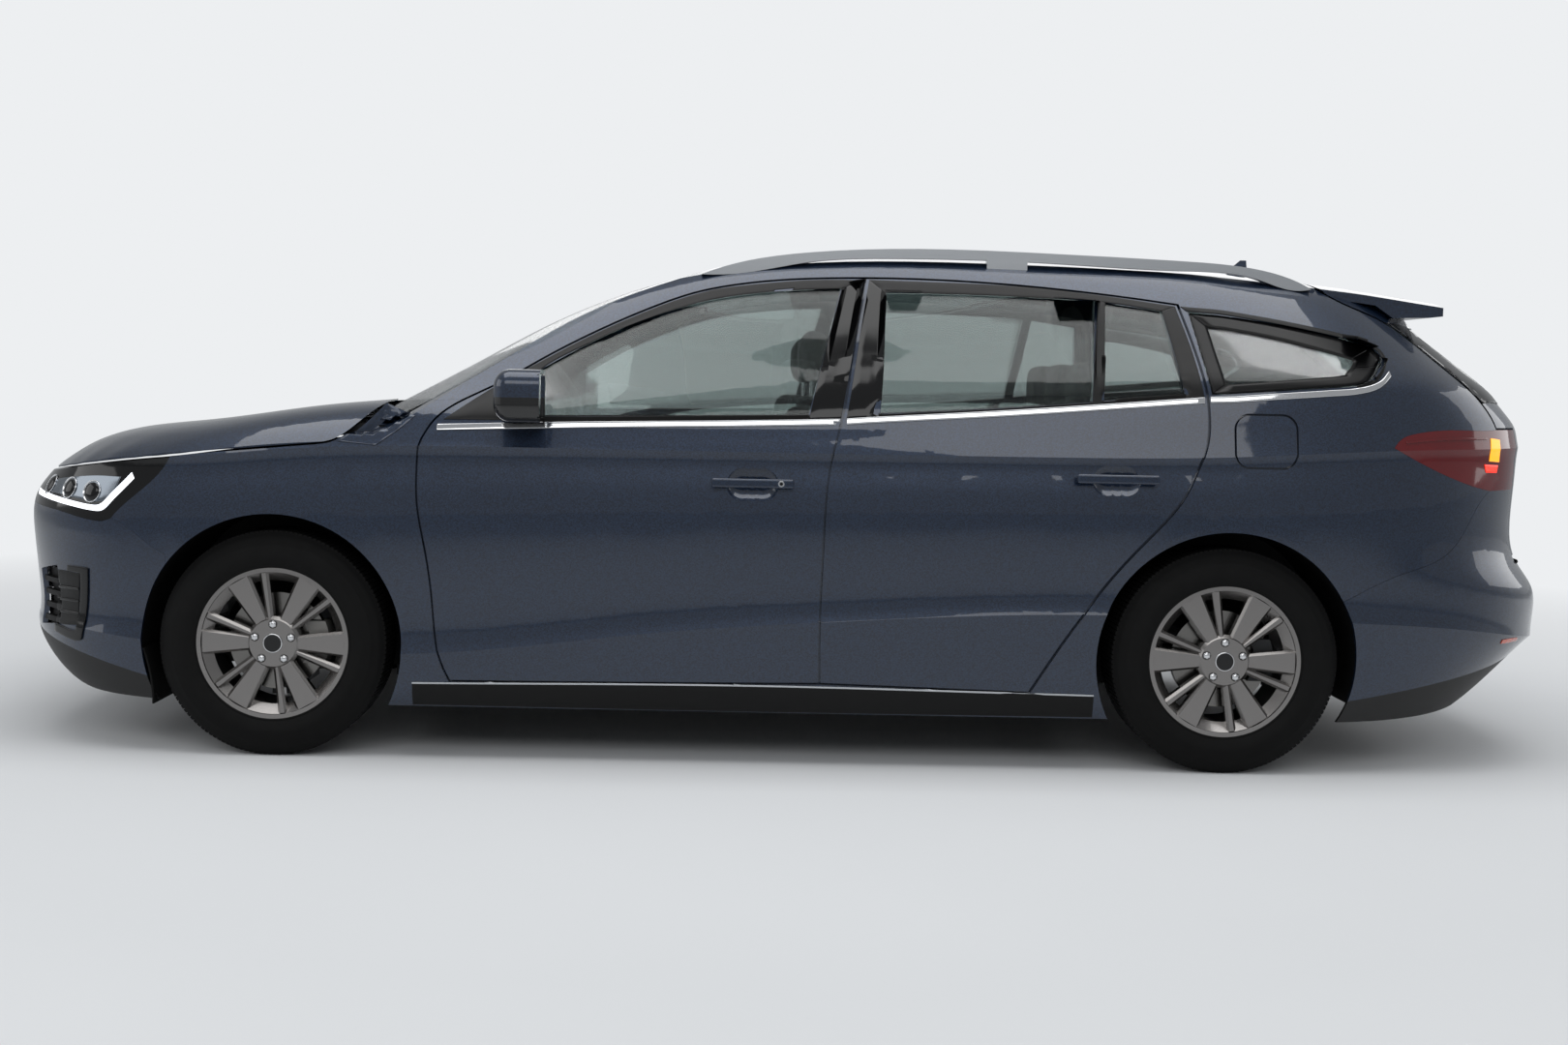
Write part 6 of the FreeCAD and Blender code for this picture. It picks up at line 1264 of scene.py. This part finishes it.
@dataclass(frozen=True)
class Pad:
    """A padded block of a seat: its middle and size in metres, and how its face is formed.

    The face looks up on a cushion and forwards on a back. Bolsters stand up beside it, from wing_start
    to wing_run further out, and the sewn channels run across it at shares of its length. The block starts
    smaller than the size by cap_room of the cap, because it swells.
    """

    name: str
    middle: tuple[float, float, float]
    size: tuple[float, float, float]
    upright: bool = False
    rounding: float = 0.038
    bolster: float = 0.0
    crown: float = 0.0
    channels: tuple[float, ...] = ()
    side_seams: tuple[float, ...] = ()
    fill: float = 0.7
    voxel: float = 0.008
    pressure: float = 4.0
    frames: int = 20
    cap: float = 0.010
    cap_room: float = 0.8
    least_share: float = 2.4
    wing_start: float = 0.55
    wing_run: float = 0.25
    channel_reach: float = 0.62
    sewn_depth: float = 0.007
    sewn_width: float = 0.006

    @property
    def room(self) -> float:
        """How much smaller the block starts, since it swells."""
        return self.cap * self.cap_room

    def block(self) -> bmesh.types.BMesh:
        """Make the rounded block before its padding.

        Returns:
            The block about the origin.
        """
        mesh = bmesh.new()
        bmesh.ops.create_cube(mesh, size=1.0)
        bmesh.ops.scale(mesh, vec=[side - 2 * self.room for side in self.size], verts=mesh.verts[:])
        offset = min(self.rounding, min(self.size) / self.least_share)
        bmesh.ops.bevel(mesh, geom=mesh.edges[:], offset=offset, segments=5, profile=0.5, affect="EDGES",
                        material=-1)
        return mesh

    def remeshed(self, mesh: bmesh.types.BMesh) -> bpy.types.Mesh:
        """Turn the block to a mesh of even small faces.

        Args:
            mesh: the block, which is freed.

        Returns:
            The even mesh.
        """
        piece = add_object("raw_" + self.name, mesh_data(self.name, mesh))
        grid = piece.modifiers.new("even", "REMESH")
        grid.mode = "VOXEL"
        grid.voxel_size = self.voxel
        even = bpy.data.meshes.new_from_object(piece.evaluated_get(bpy.context.evaluated_depsgraph_get()))
        bpy.data.objects.remove(piece)
        return even

    def inflated(self, data: bpy.types.Mesh) -> bpy.types.Mesh:
        """Swell a mesh as stuffed cloth, each point by no more than the cap.

        Args:
            data: the even mesh.

        Returns:
            The swollen mesh.
        """
        rest = [vert.co.copy() for vert in data.vertices]
        piece = add_object("stuffed_" + self.name, data)
        scene = bpy.context.scene
        cloth = piece.modifiers.new("stuffing", "CLOTH")
        cloth.settings.use_pressure = True
        cloth.settings.uniform_pressure_force = self.pressure
        cloth.settings.effector_weights.gravity = 0
        cloth.point_cache.frame_start = 1
        cloth.point_cache.frame_end = self.frames
        for number in range(1, self.frames + 1):
            scene.frame_set(number)
        swollen = bpy.data.meshes.new_from_object(piece.evaluated_get(bpy.context.evaluated_depsgraph_get()))
        for vert, start in zip(swollen.vertices, rest):
            move = vert.co - start
            vert.co = start + move.normalized() * min(move.length, self.cap) if move.length else start
        bpy.data.objects.remove(piece)
        scene.frame_set(1)
        return swollen

    def shape(self, data: bpy.types.Mesh) -> None:
        """Raise the bolsters and the crown and sink the sewn channels, then put the pad in its place.

        Args:
            data: the swollen mesh about the origin, which changes.
        """
        half = [side / 2 for side in self.size]
        long_axis, face_axis, facing = (2, 0, -1) if self.upright else (0, 2, 1)
        for vert in data.vertices:
            along = vert.co[long_axis] / half[long_axis]
            across = vert.co.y / half[1]
            depth = max(0.0, facing * vert.co[face_axis] / half[face_axis])
            wing = min(max((abs(across) - self.wing_start) / self.wing_run, 0.0), 1.0)
            rise = self.bolster * wing * wing * (3 - 2 * wing) - self.bolster
            rise += self.crown * (1 - across * across) * (1 - along * along) - self.crown
            gaps = [(along - channel) * half[long_axis] for channel in self.channels
                    if abs(across) < self.channel_reach]
            gaps += [(abs(across) - seam) * half[1] for seam in self.side_seams]
            for gap in gaps:
                rise -= self.sewn_depth * math.exp(-(gap / self.sewn_width) ** 2)
            vert.co[face_axis] += facing * rise * depth
            vert.co += Vector(self.middle)

    def formed(self) -> bpy.types.Mesh:
        """Give the pad's stuffed and sewn mesh.

        Returns:
            The mesh, in its place.
        """
        data = self.remeshed(self.block())
        data = self.inflated(data)
        self.shape(data)
        return data

    def build(self, data: bpy.types.Mesh, node: str, ending: str = "", side: Side = Side.LEFT,
              shift: float = 0.0) -> None:
        """Make one pad from the formed mesh.

        Args:
            data: what formed gave, which several pads share.
            node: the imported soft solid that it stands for.
            ending: added to the pad's name.
            side: mirrored for the right side.
            shift: how far the pad moves along Y.
        """
        mesh = bmesh.new()
        mesh.from_mesh(data)
        bmesh.ops.translate(mesh, vec=(0, shift, 0), verts=mesh.verts[:])
        to_side(mesh, side)
        piece = make_piece(self.name + ending, mesh, CLOTH, "body", "seat_cloth")
        piece.data.polygons.foreach_set("use_smooth", [True] * len(piece.data.polygons))
        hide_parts(node)


@dataclass(frozen=True)
class Seats:
    """The two front seats and the rear bench with their headrests."""

    front_pads: tuple[Pad, ...] = (
        Pad("seat_cushion", (-.240, -.385, .405), (.520, .510, .150), bolster=.022, crown=.006,
            channels=(-.35, .0, .35), side_seams=(.60,)),
        Pad("seat_back", (.025, -.385, .755), (.130, .490, .620), upright=True, bolster=.024, crown=.006,
            channels=(-.50, -.15, .20, .55), side_seams=(.60,)),
        Pad("seat_headrest", (.065, -.385, 1.170), (.090, .270, .160), upright=True, rounding=.030,
            crown=.006, fill=.9, cap=.006, voxel=.006))
    bench_pads: tuple[Pad, ...] = (
        Pad("bench_cushion", (.5825, 0.0, .4240), (.505, 1.270, .150), bolster=.010, crown=.008,
            channels=(.0,), side_seams=(.33,)),
        Pad("bench_back", (.865, 0.0, .7450), (.150, 1.080, .565), upright=True, bolster=.010, crown=.008,
            channels=(-.1,), side_seams=(.33,)))
    bench_head: Pad = Pad("bench_headrest", (.900, 0.0, 1.090), (.080, .240, .160), upright=True,
                          rounding=.028, crown=.005, fill=.9, cap=.005, voxel=.006)
    bench_head_places: tuple[float, ...] = (-.380, .0, .380)
    seat_y: float = .385
    post_radius: float = 0.0055
    post_half_gap: float = 0.070
    front_post_span: tuple[float, float] = (1.035, 1.115)
    bench_post_span: tuple[float, float] = (1.000, 1.040)
    foot_size: tuple[float, float, float] = (0.400, 0.350, 0.140)
    foot_middle: tuple[float, float, float] = (-0.240, -0.385, 0.256)
    foot_spread: tuple[float, float, float] = (1.08, 1.12, 1.0)
    foot_rounding: float = 0.018

    def posts(self, name: str, x: float, y: float, span: tuple[float, float]) -> None:
        """Make the two steel posts of a headrest.

        Args:
            name: the piece's name.
            x: where they stand along the car.
            y: the middle between them.
            span: their lower and upper ends.
        """
        low, top = span
        mesh = bmesh.new()
        for shift in (-self.post_half_gap, self.post_half_gap):
            bmesh.ops.create_cone(mesh, cap_ends=True, segments=16, radius1=self.post_radius,
                                  radius2=self.post_radius, depth=top - low,
                                  matrix=Matrix.Translation((x, y + shift, (low + top) / 2)))
        make_piece(name, mesh, CHROME, "body", "seat_cloth")

    def pedestal(self, side: Side) -> None:
        """Make the moulded foot that carries a front seat.

        Args:
            side: the car's side.
        """
        mesh = bmesh.new()
        bmesh.ops.create_cube(mesh, size=1.0)
        bmesh.ops.scale(mesh, vec=self.foot_size, verts=mesh.verts[:])
        top = [vert for vert in mesh.verts if vert.co.z > 0]
        bmesh.ops.scale(mesh, vec=self.foot_spread, verts=top)
        bmesh.ops.bevel(mesh, geom=mesh.edges[:], offset=self.foot_rounding, segments=4, profile=0.5,
                        affect="EDGES", material=-1)
        bmesh.ops.translate(mesh, vec=self.foot_middle, verts=mesh.verts[:])
        to_side(mesh, side)
        make_piece("seat_foot_" + side.word, mesh, PLASTIC, "body", "seat_cloth")

    def build(self) -> None:
        """Make all the seats."""
        for pad in self.front_pads:
            data = pad.formed()
            for side in Side:
                pad.build(data, "front_seats", "_" + side.word, side)
        for side in Side:
            self.posts("seat_posts_" + side.word, self.front_pads[-1].middle[0], side.value * self.seat_y,
                       self.front_post_span)
            self.pedestal(side)
        for pad in self.bench_pads:
            pad.build(pad.formed(), "rear_bench")
        data = self.bench_head.formed()
        for i, y in enumerate(self.bench_head_places):
            self.bench_head.build(data, "rear_bench", "_%d" % (i + 1), shift=y)
            self.posts("bench_posts_%d" % (i + 1), self.bench_head.middle[0], y, self.bench_post_span)


def look_at(node: bpy.types.Object, target: Vector) -> None:
    """Turn a lamp so that it shines at a target.

    Args:
        node: the lamp, which shines along its own -Z.
        target: where it shines.
    """
    node.rotation_euler = (target - node.location).to_track_quat("-Z", "Y").to_euler()


@dataclass(frozen=True)
class StudioFloor(Finish):
    """Matt paper floor that turns to the backdrop's even tone far from the car."""

    backdrop: str = BACKDROP
    near: float = 2.8
    far: float = 6.5

    def paint(self, tree: bpy.types.NodeTree, shader: bpy.types.Node, place: bpy.types.NodeSocket) -> None:
        """Mix in the backdrop's own light far from the middle, where the camera sees it.

        The arguments are those of Finish.paint.
        """
        super().paint(tree, shader, place)
        distance = add_node(tree, "VectorMath", {0: place}, operation="LENGTH")
        share = add_node(tree, "MapRange", {"Value": distance.outputs["Value"], "From Min": self.near,
                                            "From Max": self.far})
        seen = add_node(tree, "LightPath")
        factor = add_node(tree, "Math", {0: share.outputs["Result"], 1: seen.outputs["Is Camera Ray"]},
                          operation="MULTIPLY")
        glow = add_node(tree, "Emission", {"Color": linear(self.backdrop)})
        both = add_node(tree, "MixShader", {"Fac": factor.outputs["Value"], 1: shader.outputs["BSDF"],
                                            2: glow.outputs["Emission"]})
        end = next(node for node in tree.nodes if node.bl_idname == "ShaderNodeOutputMaterial")
        tree.links.new(both.outputs["Shader"], end.inputs["Surface"])


@dataclass(frozen=True)
class Softbox:
    """A rectangular studio lamp: its place and size in metres, power in watts and where it shines."""

    name: str
    place: tuple[float, float, float]
    size: tuple[float, float]
    power: float
    target: tuple[float, float, float] = (0.0, 0.0, 0.7)

    def build(self) -> None:
        """Make the lamp, which the camera doesn't see."""
        data = bpy.data.lights.new(self.name, "AREA")
        data.shape = "RECTANGLE"
        data.size, data.size_y = self.size
        data.energy = self.power
        lamp = add_object(self.name, data)
        lamp.location = self.place
        lamp.visible_camera = False
        look_at(lamp, Vector(self.target))


@dataclass(frozen=True)
class Studio:
    """The pale floor, the soft light and the camera at the photograph's angle.

    The camera's focal length and centre are in pixels of the photograph, and its angles in radians.
    """

    floor_half: float = 40.0
    floor_drop: float = 0.0005
    sky: str = "#E9ECEF"
    sky_strength: float = 0.45
    focal_pixels: float = 1837.69
    image_width: float = 1620.0
    image_height: float = 1080.0
    centre_x: float = 771.5
    centre_y: float = 503.8
    camera_place: tuple[float, float, float] = (-0.1503, -5.8818, 1.0619)
    yaw: float = -0.0038
    pitch: float = 0.0545
    roll: float = 0.0201
    sensor: float = 36.0
    sight: float = 200.0
    boxes: tuple[Softbox, ...] = (
        Softbox("overhead", (0.0, -1.0, 5.2), (7.0, 3.4), 190.0),
        Softbox("near_side", (-1.0, -7.5, 4.6), (9.0, 2.6), 150.0),
        Softbox("far_side", (1.5, 7.0, 4.0), (9.0, 4.0), 120.0),
        Softbox("front_fill", (-8.0, -1.5, 3.0), (5.0, 4.0), 90.0),
        Softbox("rear_fill", (8.0, 1.0, 3.0), (5.0, 4.0), 90.0))

    def floor(self) -> None:
        """Lay the floor."""
        mesh = bmesh.new()
        bmesh.ops.create_grid(mesh, x_segments=8, y_segments=8, size=self.floor_half)
        data = mesh_data("studio_floor", mesh)
        finish = StudioFloor("matt_studio_floor", "#D9DBDD", 0.85, second_colour="#D6D8DA", patch_mm=900.0)
        data.materials.append(finish.material())
        floor = add_object("studio_floor", data)
        floor.location.z = -self.floor_drop

    def light(self) -> None:
        """Set the sky and the softboxes."""
        world = bpy.data.worlds.new("studio")
        world.use_nodes = True
        tree = world.node_tree
        tree.nodes.clear()
        seen = add_node(tree, "LightPath")
        dim = add_node(tree, "Background", {"Color": linear(self.sky), "Strength": self.sky_strength})
        pale = add_node(tree, "Background", {"Color": linear(BACKDROP), "Strength": 1.0})
        both = add_node(tree, "MixShader", {"Fac": seen.outputs["Is Camera Ray"],
                                            1: dim.outputs["Background"], 2: pale.outputs["Background"]})
        add_node(tree, "OutputWorld", {"Surface": both.outputs["Shader"]})
        bpy.context.scene.world = world
        for box in self.boxes:
            box.build()

    def camera(self) -> None:
        """Place the camera where the photograph was taken."""
        forward = Vector((-math.sin(self.yaw) * math.cos(self.pitch),
                          math.cos(self.yaw) * math.cos(self.pitch), -math.sin(self.pitch)))
        right = Vector((math.cos(self.yaw), math.sin(self.yaw), 0))
        up = right.cross(forward)
        rolled_right = right * math.cos(self.roll) + up * math.sin(self.roll)
        rolled_up = up * math.cos(self.roll) - right * math.sin(self.roll)
        data = bpy.data.cameras.new("camera")
        data.sensor_width = self.sensor
        data.lens = self.focal_pixels * self.sensor / self.image_width
        data.shift_x = (self.image_width / 2 - self.centre_x) / self.image_width
        data.shift_y = (self.centre_y - self.image_height / 2) / self.image_width
        data.clip_end = self.sight
        camera = add_object("camera", data)
        axes = Matrix((rolled_right, rolled_up, -forward)).transposed()
        camera.matrix_world = Matrix.Translation(self.camera_place) @ axes.to_4x4()
        bpy.context.scene.camera = camera

    def build(self) -> None:
        """Make the whole studio."""
        self.floor()
        self.light()
        self.camera()
        bpy.context.scene.view_settings.view_transform = "Standard"


def main() -> None:
    """Build the studio and the car's looks in order."""
    logging.basicConfig(level=logging.INFO, format="%(message)s")
    Studio().build()
    dress_nodes()
    for part in (SideTrim(), Lamps(), RearBlades(), FrontAndRear(), HandleLock(), CabinTrim(), Seats()):
        part.build()
    for side in Side:
        MirrorGlass().build(side)
        FrontFlap().build(side)
    for end in ("front", "rear"):
        for side in Side:
            Tyre().build(end, side)
            WheelHardware().build(end, side)


if __name__ == "__main__":
    main()
